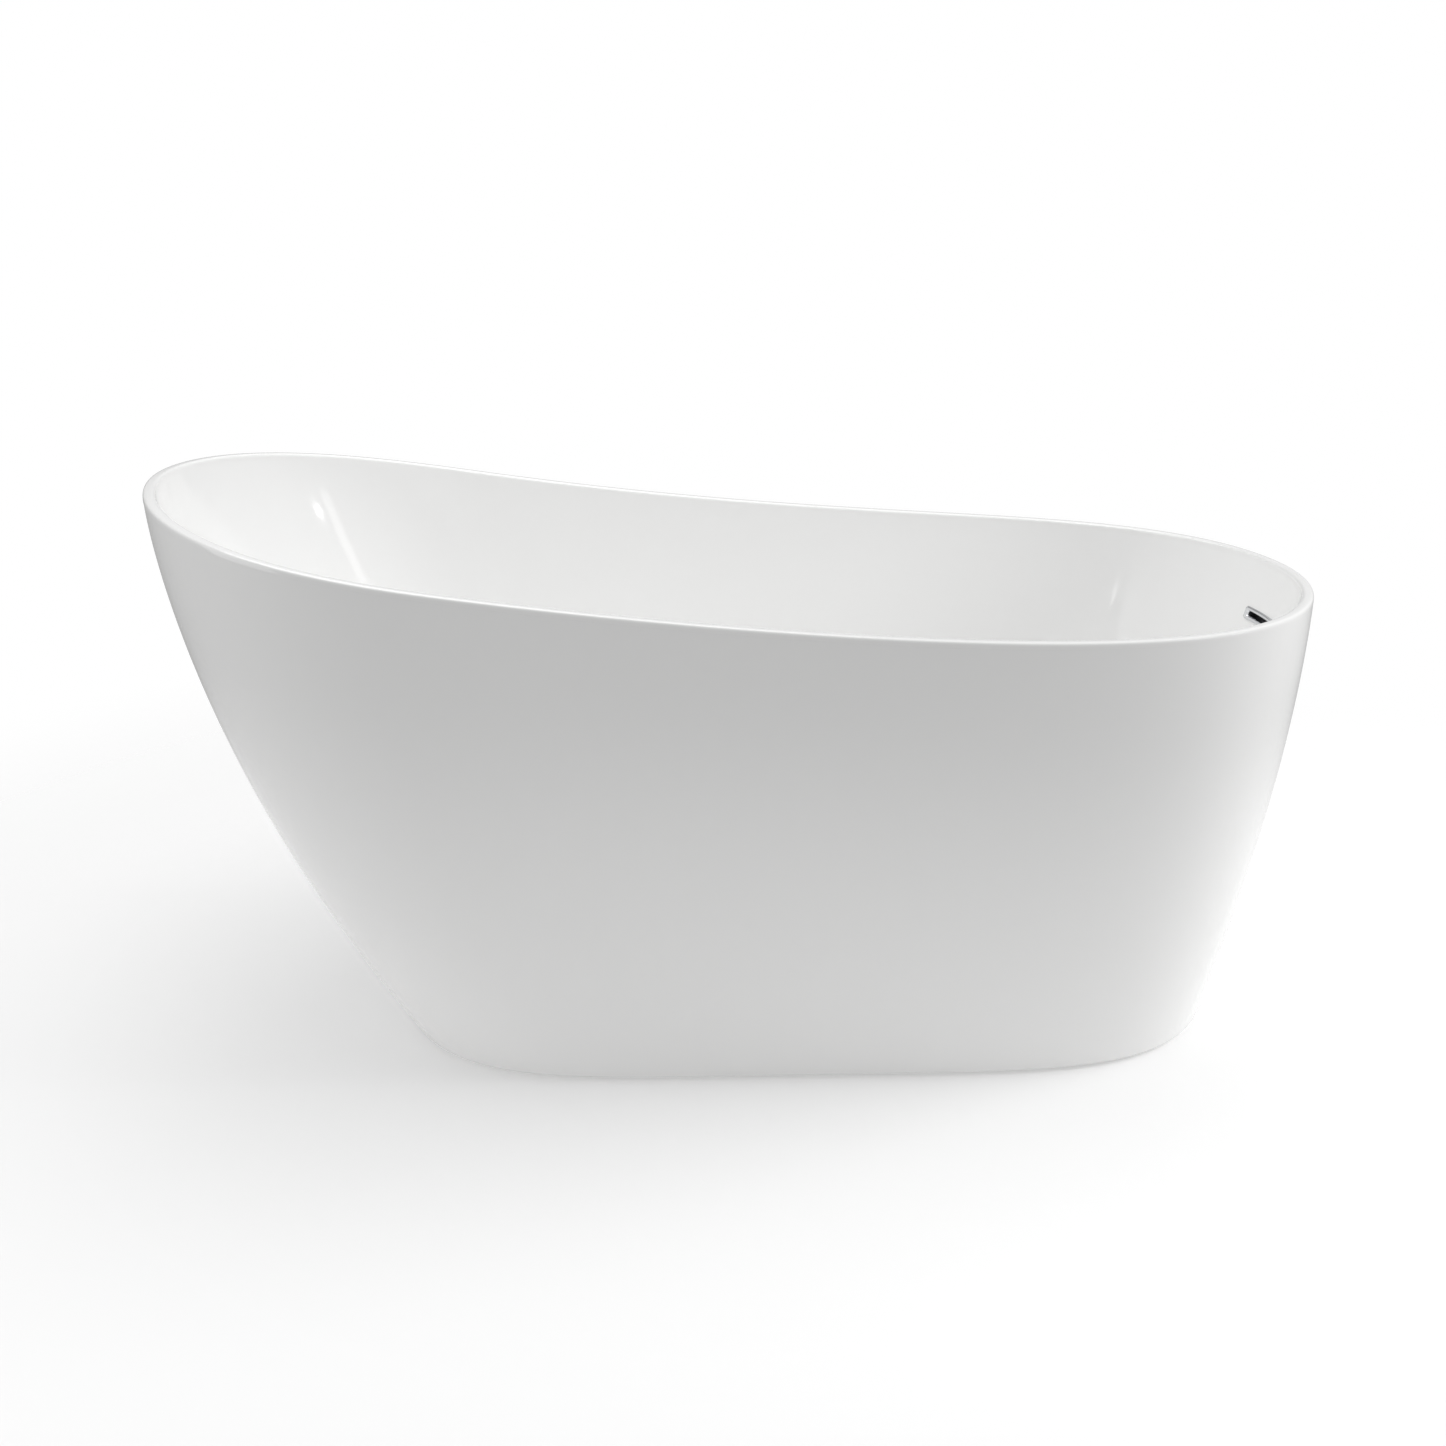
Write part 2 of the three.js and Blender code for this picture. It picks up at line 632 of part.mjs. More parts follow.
function skirtWithHoles() {
  const holes = bracketPlaces.map(([x, side]) =>
    fastenerHole(SCREW_RADIUS, 0, flangeTop + 1, x, side * bracketScrewY(x)),
  );
  return shaped([skirt()], holes);
}

// A square tube along X, open at both ends and centred on its own middle.
function squareTube(length) {
  const half = RAIL / 2;
  const hollow = half - RAIL_WALL;
  const square = (reach) => [[-reach, -reach], [reach, -reach], [reach, reach], [-reach, reach]];
  const corners = (reach) => square(reach).map(([x, y]) => new THREE.Vector2(x, y));
  const shape = new THREE.Shape(corners(half));
  shape.holes.push(new THREE.Path(corners(hollow).reverse()));
  const tube = new THREE.ExtrudeGeometry(shape, { depth: length, bevelEnabled: false });
  return tube.translate(0, 0, -length / 2).rotateY(Math.PI / 2);
}

function sideRail(side) {
  const length = footRailX - headRailX + RAIL;
  const tube = squareTube(length).translate(midRailX, side * sideRailY, sideRailTop - RAIL / 2);
  const y = side * sideRailY;
  const middle = sideRailTop - RAIL / 2;
  const bolts = crossRailPlaces.map((x) => fastenerHole(FRAME_BOLT_RADIUS, crossRailTop, middle, x, y));
  const screws = boardScrewX.map((x) => fastenerHole(SCREW_RADIUS, crossRailTop, boardTop, x, y));
  return shaped([tube], [...bolts, ...screws]);
}

// A cross rail with the weld nuts of its feet and the holes for its bolts and bracket screws.
function crossRail(x) {
  const length = 2 * crossRailHalf(x);
  const tube = squareTube(length).rotateZ(Math.PI / 2).translate(x, 0, crossRailTop - RAIL / 2);
  const nutLow = crossRailBottom - WELD_NUT_HEIGHT;
  const nuts = footPlacesY(x).map((y) =>
    rod(WELD_NUT_RADIUS, nutLow, crossRailBottom + RAIL_WALL / 2, 6).translate(x, y, 0),
  );
  const studs = footPlacesY(x).map((y) =>
    rod(STUD_RADIUS + STUD_CLEARANCE, 0, crossRailBottom + RAIL / 2).translate(x, y, 0),
  );
  const bolts = [-1, 1].map((side) =>
    fastenerHole(FRAME_BOLT_RADIUS, 0, crossRailTop + 1, x, side * sideRailY),
  );
  const ends = x === midRailX ? [] : [-1, 1];
  const screws = ends.map((side) =>
    fastenerHole(SCREW_RADIUS, 0, crossRailBottom + RAIL / 2, x, side * bracketScrewY(x)),
  );
  return shaped([tube, ...nuts], [...studs, ...bolts, ...screws]);
}

// A C-shaped strap between a cross rail's end and the skirt's flange.
function bracket(x, side) {
  const end = crossRailHalf(x);
  const low = flangeTop + GAP;
  const high = crossRailBottom - GAP;
  const tab = end - BRACKET_TAB;
  const back = end - BRACKET_THICKNESS;
  const shape = new THREE.Shape();
  shape.moveTo(tab, low).lineTo(end, low).lineTo(end, high).lineTo(tab, high);
  shape.lineTo(tab, high - BRACKET_THICKNESS).lineTo(back, high - BRACKET_THICKNESS);
  shape.lineTo(back, low + BRACKET_THICKNESS).lineTo(tab, low + BRACKET_THICKNESS).closePath();
  const strap = new THREE.ExtrudeGeometry(shape, { depth: BRACKET_WIDTH, bevelEnabled: false });
  strap.translate(0, 0, -BRACKET_WIDTH / 2).rotateX(Math.PI / 2).rotateZ(Math.PI / 2);
  if (side < 0) strap.rotateZ(Math.PI);
  const hole = fastenerHole(SCREW_RADIUS, 0, crossRailTop, x, side * bracketScrewY(x));
  return shaped([strap.translate(x, 0, 0)], [hole]);
}

// The base board: a rectangle with rounded corners.
function baseBoard() {
  const half = floorOutline.half - BOARD_INSET;
  const shape = new THREE.Shape();
  const middle = half - BOARD_CORNER;
  shape.absarc(boardFootX - BOARD_CORNER, -middle, BOARD_CORNER, -Math.PI / 2, 0, false);
  shape.absarc(boardFootX - BOARD_CORNER, middle, BOARD_CORNER, 0, Math.PI / 2, false);
  shape.absarc(boardHeadX + BOARD_CORNER, middle, BOARD_CORNER, Math.PI / 2, Math.PI, false);
  shape.absarc(boardHeadX + BOARD_CORNER, -middle, BOARD_CORNER, Math.PI, 1.5 * Math.PI, false);
  const board = new THREE.ExtrudeGeometry(shape, {
    depth: BOARD_THICKNESS,
    bevelEnabled: false,
    curveSegments: 6,
  });
  board.translate(0, 0, boardTop - BOARD_THICKNESS);
  const holeTop = boardTop - BOARD_THICKNESS / 4;
  const holes = boardScrewX.flatMap((x) =>
    [-1, 1].map((side) => fastenerHole(SCREW_RADIUS, 0, holeTop, x, side * sideRailY)),
  );
  return shaped([board], holes);
}

// ---------------------------------------------------------------- fasteners

// A pan-head screw that points down, with the underside of its head at z = 0.
function screw(length) {
  const edge = SCREW_HEAD_HEIGHT / 2;
  const shank = rod(SCREW_RADIUS, -length, edge, SCREW_SIDES);
  const head = turned([
    [0, 0],
    [SCREW_HEAD, 0],
    [SCREW_HEAD, edge],
    [SCREW_HEAD * 0.6, SCREW_HEAD_HEIGHT],
    [0, SCREW_HEAD_HEIGHT],
  ], SCREW_SIDES);
  return shaped([shank, head]);
}

// A hexagon bolt that points up, with the upper side of its head at z = 0.
function frameBolt() {
  const reach = RAIL + 2 * GAP + RAIL_WALL + SCREW_PAST_WALL;
  const shank = rod(FRAME_BOLT_RADIUS, -FRAME_BOLT_HEAD_HEIGHT / 2, reach, SCREW_SIDES);
  return shaped([shank, rod(FRAME_BOLT_HEAD, -FRAME_BOLT_HEAD_HEIGHT, 0, 6)]);
}

// ---------------------------------------------------------------- levelling feet

function footPad() {
  return turned([
    [0, 0],
    [PAD_RADIUS, 0],
    [PAD_RADIUS, PAD_HEIGHT * 0.3],
    [PAD_RADIUS * 0.7, PAD_HEIGHT],
    [STUD_RADIUS + STUD_CLEARANCE, PAD_HEIGHT],
    [STUD_RADIUS + STUD_CLEARANCE, PAD_HEIGHT - PAD_SOCKET],
    [0, PAD_HEIGHT - PAD_SOCKET],
  ], 20);
}

function footStud() {
  const low = PAD_HEIGHT - PAD_SOCKET + GAP;
  const high = crossRailBottom + STUD_ABOVE_RAIL;
  const collar = rod(STUD_COLLAR_RADIUS, PAD_HEIGHT + GAP, PAD_HEIGHT + GAP + STUD_COLLAR_HEIGHT, 6);
  return shaped([rod(STUD_RADIUS, low, high), collar]);
}

// ---------------------------------------------------------------- drain

function drainFlange() {
  const lip = DRAIN_FLANGE_THICKNESS / 3;
  const body = turned([
    [drainBoreRadius, drainBodyBottom],
    [drainBodyRadius, drainBodyBottom],
    [drainBodyRadius, flangeBottom],
    [drainFlangeRadius - lip, flangeBottom],
    [drainFlangeRadius, flangeBottom + lip],
    [drainFlangeRadius - 2 * lip, flangeUpper],
    [drainBoreRadius + DRAIN_CHAMFER, flangeUpper],
    [drainBoreRadius, flangeUpper - DRAIN_CHAMFER],
  ], 28);
  const arm = drainBoreRadius + DRAIN_WALL / 2;
  const bars = [
    box([-arm, -SPIDER_BAR / 2, spiderLow], [arm, SPIDER_BAR / 2, spiderHigh]),
    box([-SPIDER_BAR / 2, -arm, spiderLow], [SPIDER_BAR / 2, arm, spiderHigh]),
  ];
  const boss = rod(CARTRIDGE_RADIUS + SPIDER_BOSS_WALL, spiderLow, spiderHigh, 16);
  const hole = rod(CARTRIDGE_RADIUS + STUD_CLEARANCE, spiderLow - 1, spiderHigh + 1, 16);
  return shaped([body, ...bars, boss], [hole]);
}

// The press mechanism's housing: it sits on the flange's cross on a collar.
function drainCartridge() {
  const collar = CARTRIDGE_RADIUS + CARTRIDGE_COLLAR_WIDTH;
  const collarLow = spiderHigh + GAP;
  const collarHigh = collarLow + CARTRIDGE_COLLAR_HEIGHT;
  return turned([
    [0, cartridgeBottom],
    [CARTRIDGE_RADIUS, cartridgeBottom],
    [CARTRIDGE_RADIUS, collarLow],
    [collar, collarLow],
    [collar, collarHigh],
    [CARTRIDGE_RADIUS, collarHigh],
    [CARTRIDGE_RADIUS, cartridgeTop],
    [PLUNGER_RADIUS + STUD_CLEARANCE, cartridgeTop],
    [PLUNGER_RADIUS + STUD_CLEARANCE, boreBottom],
    [0, boreBottom],
  ], 16);
}

// A crowned disc with a hub underneath that takes the plunger.
function drainCap() {
  const socket = PLUNGER_RADIUS + GAP;
  const socketEnd = capUnder + CAP_SOCKET_DEPTH;
  const ringOuter = capSealInner - GAP;
  const ringInner = ringOuter - CAP_SKIRT_WALL;
  const crownAt = (share) => [capRadius * share, capUnder + CAP_CROWN * (1 - 0.42 * share ** 2)];
  return turned([
    [0, socketEnd],
    [socket, socketEnd],
    [socket, hubBottom],
    [CAP_HUB_RADIUS, hubBottom],
    [CAP_HUB_RADIUS, capUnder],
    [ringInner, capUnder],
    [ringInner, capUnder - CAP_SKIRT],
    [ringOuter, capUnder - CAP_SKIRT],
    [ringOuter, capUnder],
    [capRadius - CAP_EDGE, capUnder],
    [capRadius, capUnder + CAP_EDGE],
    crownAt(0.97),
    crownAt(0.7),
    crownAt(0.35),
    crownAt(0),
  ], 28);
}

function drainSpring() {
  const low = cartridgeTop + GAP + SPRING_WIRE / 2;
  const high = hubBottom - GAP - SPRING_WIRE / 2;
  const points = [];
  const steps = SPRING_TURNS * SPRING_STEPS;
  for (let step = 0; step <= steps; step += 1) {
    const turn = (2 * Math.PI * step) / SPRING_STEPS;
    const rise = low + ((high - low) * step) / steps;
    points.push(new THREE.Vector3(SPRING_RADIUS * Math.cos(turn), SPRING_RADIUS * Math.sin(turn), rise));
  }
  const wire = new THREE.Shape().absarc(0, 0, SPRING_WIRE / 2, 0, 2 * Math.PI, false);
  const path = new THREE.CatmullRomCurve3(points);
  return new THREE.ExtrudeGeometry(wire, { steps, extrudePath: path, curveSegments: 3, bevelEnabled: false });
}

// The waste body: it screws onto the drain, with a spigot for the hose and a socket for the pipe.
function wasteBody() {
  const bore = OUTLET_RADIUS - OUTLET_WALL;
  const taperTop = drainBodyBottom - WASTE_WALL;
  const body = turned([
    [threadRadius, wasteTop],
    [wasteRadius, wasteTop],
    [wasteRadius, taperTop],
    [socketRadius + WASTE_WALL, taperTop - WASTE_TAPER],
    [socketRadius + WASTE_WALL, socketBottom],
    [socketRadius, socketBottom],
    [socketRadius, socketTop],
    [bore, socketTop],
    [bore, drainBodyBottom - WASTE_WALL / 2],
    [threadRadius, drainBodyBottom - GAP],
  ].reverse());
  const along = (radius, from, to) =>
    rod(radius, from, to, 20).rotateY(Math.PI / 2).translate(0, 0, hoseLevel);
  const end = wasteRadius + SPIGOT_LENGTH;
  const spigot = along(spigotRadius, bore + 1, end);
  return shaped([body, spigot], [along(spigotRadius - SPIGOT_WALL, 0, end + 1)]);
}

function outletNut() {
  const thread = socketRadius + WASTE_WALL + GAP;
  const outer = thread + OUTLET_NUT_WALL;
  const chamfer = OUTLET_NUT_WALL * 0.4;
  const seat = socketBottom - GAP;
  const high = socketBottom + OUTLET_NUT_RISE;
  return turned([
    [socketRadius, seat - OUTLET_NUT_LIP],
    [outer - chamfer, seat - OUTLET_NUT_LIP],
    [outer, seat],
    [outer, high - chamfer],
    [outer - chamfer, high],
    [thread, high],
    [thread, seat],
    [socketRadius, seat],
  ], 24);
}

// ---------------------------------------------------------------- overflow

// A layer beside the inner wall at the foot end, between two distances from the wall's wet face.
// It uses the basin's own columns and rows, so it follows the wall's facets.
function wallLayer(near, far) {
  const columns = Array.from({ length: 2 * LAYER_COLUMNS + 1 }, (_, step) => {
    return angles[(step - LAYER_COLUMNS + COLUMNS) % COLUMNS];
  });
  const shares = Array.from({ length: LAYER_ROWS }, (_, row) => wallShare((row + 1) / WALL_ROWS));
  const loops = shares.map((share) => {
    const front = columns.map((angle) => wallOffset(angle, share, near));
    const rear = columns.map((angle) => wallOffset(angle, share, far));
    return [...front, ...rear.reverse()];
  });
  return cappedLoft(loops, columns.length);
}

// Joins loops of points in order. Each loop runs along the front and back along the rear,
// so its two ends are closed by strips between the two.
function cappedLoft(loops, across) {
  const count = loops[0].length;
  const positions = loops.flatMap((loop) => loop.flatMap((point) => point.toArray()));
  const index = [];
  for (let row = 0; row + 1 < loops.length; row += 1) {
    for (let column = 0; column < count; column += 1) {
      const here = row * count;
      const next = here + count;
      const beside = (column + 1) % count;
      index.push(here + column, here + beside, next + beside);
      index.push(here + column, next + beside, next + column);
    }
  }
  const last = (loops.length - 1) * count;
  for (let column = 0; column + 1 < across; column += 1) {
    const rear = count - 1 - column;
    const end = last + column;
    index.push(column, rear, rear - 1, column, rear - 1, column + 1);
    index.push(end, last + rear - 1, last + rear, end, end + 1, last + rear - 1);
  }
  const geometry = new THREE.BufferGeometry();
  geometry.setAttribute("position", new THREE.Float32BufferAttribute(positions, 3));
  geometry.setIndex(index);
  return geometry;
}

// The part of a wall layer that lies within a stadium round the middle of the overflow.
function wallPiece(near, far, length, height) {
  return common(wallLayer(near, far), slotPrism(length, height, 0, halfLength));
}

function slotCut(margin) {
  return slotPrism(SLOT_LENGTH + 2 * margin, SLOT_HEIGHT + 2 * margin, 0, halfLength);
}

function overflowTrim() {
  const face = wallPiece(-GAP - TRIM_THICKNESS, -GAP, trimLength, trimHeight);
  const collar = wallPiece(-GAP - TRIM_THICKNESS / 2, collarDepth, collarLength, collarHeight);
  return shaped([face, collar], [slotCut(0)]);
}

function overflowGasket() {
  const length = trimLength + OVERFLOW_BODY_MARGIN;
  const height = trimHeight + OVERFLOW_BODY_MARGIN;
  const near = BASIN_WALL + GAP;
  const gasket = wallPiece(near, near + SEAL_THICKNESS, length, height);
  return shaped([gasket], [slotCut(COLLAR_WALL + GAP)]);
}

// The back of the basin's wall and the inside of the skirt at the foot end, at one level.
function wallBackX(level) {
  let low = 0;
  let high = 1;
  for (let step = 0; step < 40; step += 1) {
    const share = (low + high) / 2;
    if (wallOffset(0, share, BASIN_WALL).z > level) low = share;
    else high = share;
  }
  return wallOffset(0, low, BASIN_WALL).x;
}

function skirtInsideX(level) {
  return skirtInner(0, level, SKIRT_WALL).x;
}

function gapMiddleX(level) {
  return (wallBackX(level) + skirtInsideX(level)) / 2;
}

const ductBottomLevel = FOOT_HEIGHT - DUCT_BOTTOM;
const spigotEndLevel = ductBottomLevel - SPIGOT_LENGTH - HOSE_RADIUS;
const ductLowerX = (wallBackX(ductBottomLevel) + skirtInsideX(spigotEndLevel)) / 2;

// The duct fills the gap between the shells with a clearance, less a wall on every side.
function duct(inset) {
  const rise = (overflowLevel - ductBottomLevel) / DUCT_LEVELS;
  const levels = rows(DUCT_LEVELS, (share) => ductBottomLevel + rise * DUCT_LEVELS * share);
  const shape = new THREE.Shape();
  levels.forEach((level, step) => {
    const place = [wallBackX(level) + DUCT_GAP + inset, level + (step ? 0 : inset)];
    if (step) shape.lineTo(...place);
    else shape.moveTo(...place);
  });
  [...levels].reverse().forEach((level, step) => {
    const atBottom = step === levels.length - 1;
    shape.lineTo(skirtInsideX(level) - DUCT_REAR_GAP - inset, level + (atBottom ? inset : 0));
  });
  shape.closePath();
  const width = DUCT_WIDTH - 2 * inset;
  const prism = new THREE.ExtrudeGeometry(shape, { depth: width, bevelEnabled: false });
  return prism.rotateX(Math.PI / 2).translate(0, width / 2, 0);
}

// The overflow's body: a flat header behind the slot, a duct down the gap and a spigot for the hose.
function overflowBody() {
  const near = BASIN_WALL + SEAL_THICKNESS + 2 * GAP;
  const far = near + OVERFLOW_BODY_DEPTH;
  const length = trimLength + OVERFLOW_BODY_MARGIN;
  const height = trimHeight + OVERFLOW_BODY_MARGIN;
  const header = wallPiece(near, far, length, height);
  const hollow = wallPiece(near - 1, far - DUCT_WALL, length - 4 * DUCT_WALL, height - 4 * DUCT_WALL);
  const spigotLow = ductBottomLevel - SPIGOT_LENGTH;
  const spigot = rod(spigotRadius, spigotLow, ductBottomLevel + 1, 20);
  const bore = rod(spigotRadius - SPIGOT_WALL, spigotLow - 1, ductBottomLevel + 2 * DUCT_WALL, 20);
  spigot.translate(ductLowerX, 0, 0);
  bore.translate(ductLowerX, 0, 0);
  return shaped([header, duct(0), spigot], [hollow, duct(DUCT_WALL), bore]);
}

// ---------------------------------------------------------------- overflow hose

const hoseStartX = drainX + wasteRadius + HOSE_END_GAP;
const hoseTopLevel = ductBottomLevel - HOSE_END_GAP;

// The hose runs level under the foot cross rail, then up the gap between the shells to the duct.
function overflowHose() {
  const bendX = Math.max(hoseStartX + SPIGOT_LENGTH, footRailX + RAIL / 2) + HOSE_PAST_RAIL;
  const bendLevel = hoseLevel + (spigotEndLevel - hoseLevel) * 0.55;
  const places = [
    [hoseStartX, hoseLevel],
    [(hoseStartX + bendX) / 2, hoseLevel],
    [bendX, hoseLevel],
    [bendX + (gapMiddleX(bendLevel) - bendX) * 0.6, hoseLevel + (bendLevel - hoseLevel) * 0.3],
    [gapMiddleX(bendLevel) - HOSE_RADIUS / 2, bendLevel],
    [ductLowerX, spigotEndLevel],
    [ductLowerX, (spigotEndLevel + hoseTopLevel) / 2],
    [ductLowerX, hoseTopLevel],
  ];
  const points = places.map(([x, z]) => new THREE.Vector3(x, 0, z));
  const section = new THREE.Shape().absarc(0, 0, HOSE_RADIUS, 0, 2 * Math.PI, false);
  section.holes.push(new THREE.Path().absarc(0, 0, HOSE_RADIUS - HOSE_WALL, 0, 2 * Math.PI, true));
  const path = new THREE.CatmullRomCurve3(points, false, "centripetal");
  return new THREE.ExtrudeGeometry(section, {
    steps: HOSE_STEPS,
    extrudePath: path,
    curveSegments: HOSE_SIDES / 2,
    bevelEnabled: false,
  });
}

// A clamp band about the vertical axis, with the housing of its worm screw.
function hoseClamp() {
  const inner = HOSE_RADIUS + GAP;
  const band = tubeRing(inner, inner + CLAMP_THICKNESS, -CLAMP_WIDTH / 2, CLAMP_WIDTH / 2, 24);
  const near = inner + CLAMP_THICKNESS / 2;
  const far = inner + CLAMP_HOUSING_RISE;
  const half = CLAMP_HOUSING_WIDTH / 2;
  const housing = box([-half, near, -CLAMP_WIDTH / 3], [half, far, CLAMP_WIDTH / 3]);
  return shaped([band, housing]);
}

// ---------------------------------------------------------------- assembly

addMesh("basin", basin(), acrylic);
addMesh("outer_skirt", skirtWithHoles(), acrylic);
addMesh("base_board", baseBoard(), plywood);

[-1, 1].forEach((side, index) => addMesh(`side_rail_${index + 1}`, sideRail(side), steel));
crossRailPlaces.forEach((x, index) => addMesh(`cross_rail_${index + 1}`, crossRail(x), steel));

bracketPlaces.forEach(([x, side], index) => {
  const y = side * bracketScrewY(x);
  const tabTop = flangeTop + GAP + BRACKET_THICKNESS;
  const tabUnder = crossRailBottom - GAP - BRACKET_THICKNESS;
  const lower = screw(tabTop - GAP - SKIRT_CLEARANCE);
  const upper = screw(BRACKET_THICKNESS + 2 * GAP + RAIL_WALL + SCREW_PAST_WALL).rotateX(Math.PI);
  addMesh(`skirt_bracket_${index + 1}`, bracket(x, side), steel);
  addMesh(`flange_screw_${index + 1}`, lower, steel, [x, y, tabTop + GAP]);
  addMesh(`rail_screw_${index + 1}`, upper, steel, [x, y, tabUnder - GAP]);
});

crossRailPlaces.forEach((x, index) => {
  [-1, 1].forEach((side, which) => {
    const place = [x, side * sideRailY, crossRailBottom - GAP];
    addMesh(`frame_bolt_${index * 2 + which + 1}`, frameBolt(), steel, place);
  });
});

boardScrewX.forEach((x, index) => {
  [-1, 1].forEach((side, which) => {
    const under = sideRailTop - RAIL - GAP;
    const fastener = screw(RAIL + 2 * GAP + BOARD_THICKNESS / 2).rotateX(Math.PI);
    addMesh(`board_screw_${index * 2 + which + 1}`, fastener, steel, [x, side * sideRailY, under]);
  });
});

const footPlaces = crossRailPlaces.flatMap((x) => footPlacesY(x).map((y) => [x, y, 0]));
footPlaces.forEach((place, index) => {
  addMesh(`foot_pad_${index + 1}`, footPad(), blackPlastic, place);
  addMesh(`foot_stud_${index + 1}`, footStud(), steel, place);
});

const drainPlace = [drainX, 0, 0];
addMesh("drain_flange", drainFlange(), chrome, drainPlace);
const gasketLow = dishLevel + GAP;
const gasketOuter = drainFlangeRadius - SEAL_INSET;
const gasket = tubeRing(threadRadius, gasketOuter, gasketLow, gasketLow + SEAL_THICKNESS);
addMesh("drain_gasket", gasket, rubber, drainPlace);
const washer = tubeRing(threadRadius, lockNutRadius, washerTop - WASHER_THICKNESS, washerTop);
addMesh("drain_washer", washer, rubber, drainPlace);
const nutBlank = rod(lockNutRadius, lockNutTop - LOCK_NUT_HEIGHT, lockNutTop, 8);
const nutThread = rod(threadRadius, 0, lockNutTop + 1, 24);
addMesh("drain_lock_nut", shaped([nutBlank], [nutThread]), brass, drainPlace);
addMesh("drain_cartridge", drainCartridge(), brass, drainPlace);
addMesh("drain_plunger", rod(PLUNGER_RADIUS, plungerBottom, capUnder + 1), brass, drainPlace);
addMesh("drain_spring", drainSpring(), steel, drainPlace);
addMesh("drain_cap", drainCap(), chrome, drainPlace);
const sealLow = capUnder - CAP_SEAL_HEIGHT - GAP;
const capSeal = tubeRing(capSealInner, capSealOuter, sealLow, sealLow + CAP_SEAL_HEIGHT);
addMesh("drain_cap_seal", capSeal, rubber, drainPlace);
addMesh("waste_body", wasteBody(), whitePlastic, drainPlace);
const pipe = tubeRing(OUTLET_RADIUS - OUTLET_WALL, OUTLET_RADIUS, OUTLET_CLEARANCE, socketTop - GAP);
addMesh("outlet_pipe", pipe, whitePlastic, drainPlace);
addMesh("outlet_nut", outletNut(), whitePlastic, drainPlace);

addMesh("overflow_trim", overflowTrim(), chrome);
addMesh("overflow_gasket", overflowGasket(), rubber);
addMesh("overflow_body", overflowBody(), blackPlastic);
addMesh("overflow_hose", overflowHose(), whitePlastic);
const lowerClamp = hoseClamp().rotateX(Math.PI).rotateY(Math.PI / 2);
addMesh("hose_clamp_1", lowerClamp, steel, [hoseStartX + SPIGOT_LENGTH / 2, 0, hoseLevel]);
const upperClamp = hoseClamp();
addMesh("hose_clamp_2", upperClamp, steel, [ductLowerX, 0, hoseTopLevel - SPIGOT_LENGTH / 2]);

export default tub;
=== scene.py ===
"""The looks of a freestanding slipper bathtub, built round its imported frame.

Metres, +Z up, +X towards the low foot end. Every new piece is a surface worked out from two
parameters, stands in the place of one CAD node, and rides on that node's body.
"""

import json
import math

import bmesh
import bpy
import numpy as np
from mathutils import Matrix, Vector


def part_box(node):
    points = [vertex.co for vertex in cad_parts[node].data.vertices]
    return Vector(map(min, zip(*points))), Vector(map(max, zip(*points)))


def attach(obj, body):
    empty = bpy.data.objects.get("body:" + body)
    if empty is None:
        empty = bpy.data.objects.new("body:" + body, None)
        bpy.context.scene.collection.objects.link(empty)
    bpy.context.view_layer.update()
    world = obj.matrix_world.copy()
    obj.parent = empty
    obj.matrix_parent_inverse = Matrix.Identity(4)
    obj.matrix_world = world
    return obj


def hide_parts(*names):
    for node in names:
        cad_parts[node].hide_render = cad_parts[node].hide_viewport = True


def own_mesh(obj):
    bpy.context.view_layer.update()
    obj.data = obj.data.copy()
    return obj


bl_info = {
    "name": "Freestanding slipper bathtub",
    "version": (1, 0, 0),
    "blender": (4, 5, 0),
    "location": "View3D > Sidebar > Bathtub",
    "description": "Makes the finished surfaces of a freestanding bathtub round its frame",
    "category": "Object",
}

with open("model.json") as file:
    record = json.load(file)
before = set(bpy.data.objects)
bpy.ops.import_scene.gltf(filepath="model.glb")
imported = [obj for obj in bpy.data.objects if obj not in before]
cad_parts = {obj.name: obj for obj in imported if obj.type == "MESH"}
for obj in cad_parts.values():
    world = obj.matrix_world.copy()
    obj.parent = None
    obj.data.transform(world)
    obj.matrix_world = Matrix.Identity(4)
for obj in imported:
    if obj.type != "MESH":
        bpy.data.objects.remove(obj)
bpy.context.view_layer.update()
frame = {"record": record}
BODIES = frame["record"]["behaviour"]["bodies"]
SLOTS = {row["node"]: row["material_slot"] for row in frame["record"]["subparts"]}
GAP = 0.0003  # between pieces that touch
TURN = 2 * math.pi


def corners(node):
    """The lowest and highest corners of a CAD node, as numpy arrays."""
    low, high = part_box(node)
    return np.array(low), np.array(high)


def middle(node):
    """The middle of a CAD node's box."""
    low, high = corners(node)
    return (low + high) / 2


def seated(node):
    """The corners of a CAD node, and the plan middle of its box."""
    low, high = corners(node)
    return low, high, (low[:2] + high[:2]) / 2


BASIN_LOW, BASIN_HIGH = corners("basin")
DRAIN = middle("drain_flange")
DRAIN_LOW, DRAIN_HIGH = corners("drain_flange")
TRIM_LOW, TRIM_HIGH = corners("overflow_trim")
TRIM_LEVEL = middle("overflow_trim")[2]


# ------------------------------------------------------------------ sizes and colours


def length(name, default, description):
    """A size in metres that a user can change."""
    return bpy.props.FloatProperty(
        name=name, description=description, default=default, min=0.0, unit="LENGTH", precision=4
    )


def factor(name, default, description, low=0.0, high=20.0):
    """A plain number that a user can change."""
    return bpy.props.FloatProperty(
        name=name, description=description, default=default, min=low, max=high
    )


def tint(name, default, description):
    """A colour that a user can change."""
    return bpy.props.FloatVectorProperty(
        name=name, description=description, default=default, subtype="COLOR", size=3, min=0, max=1
    )


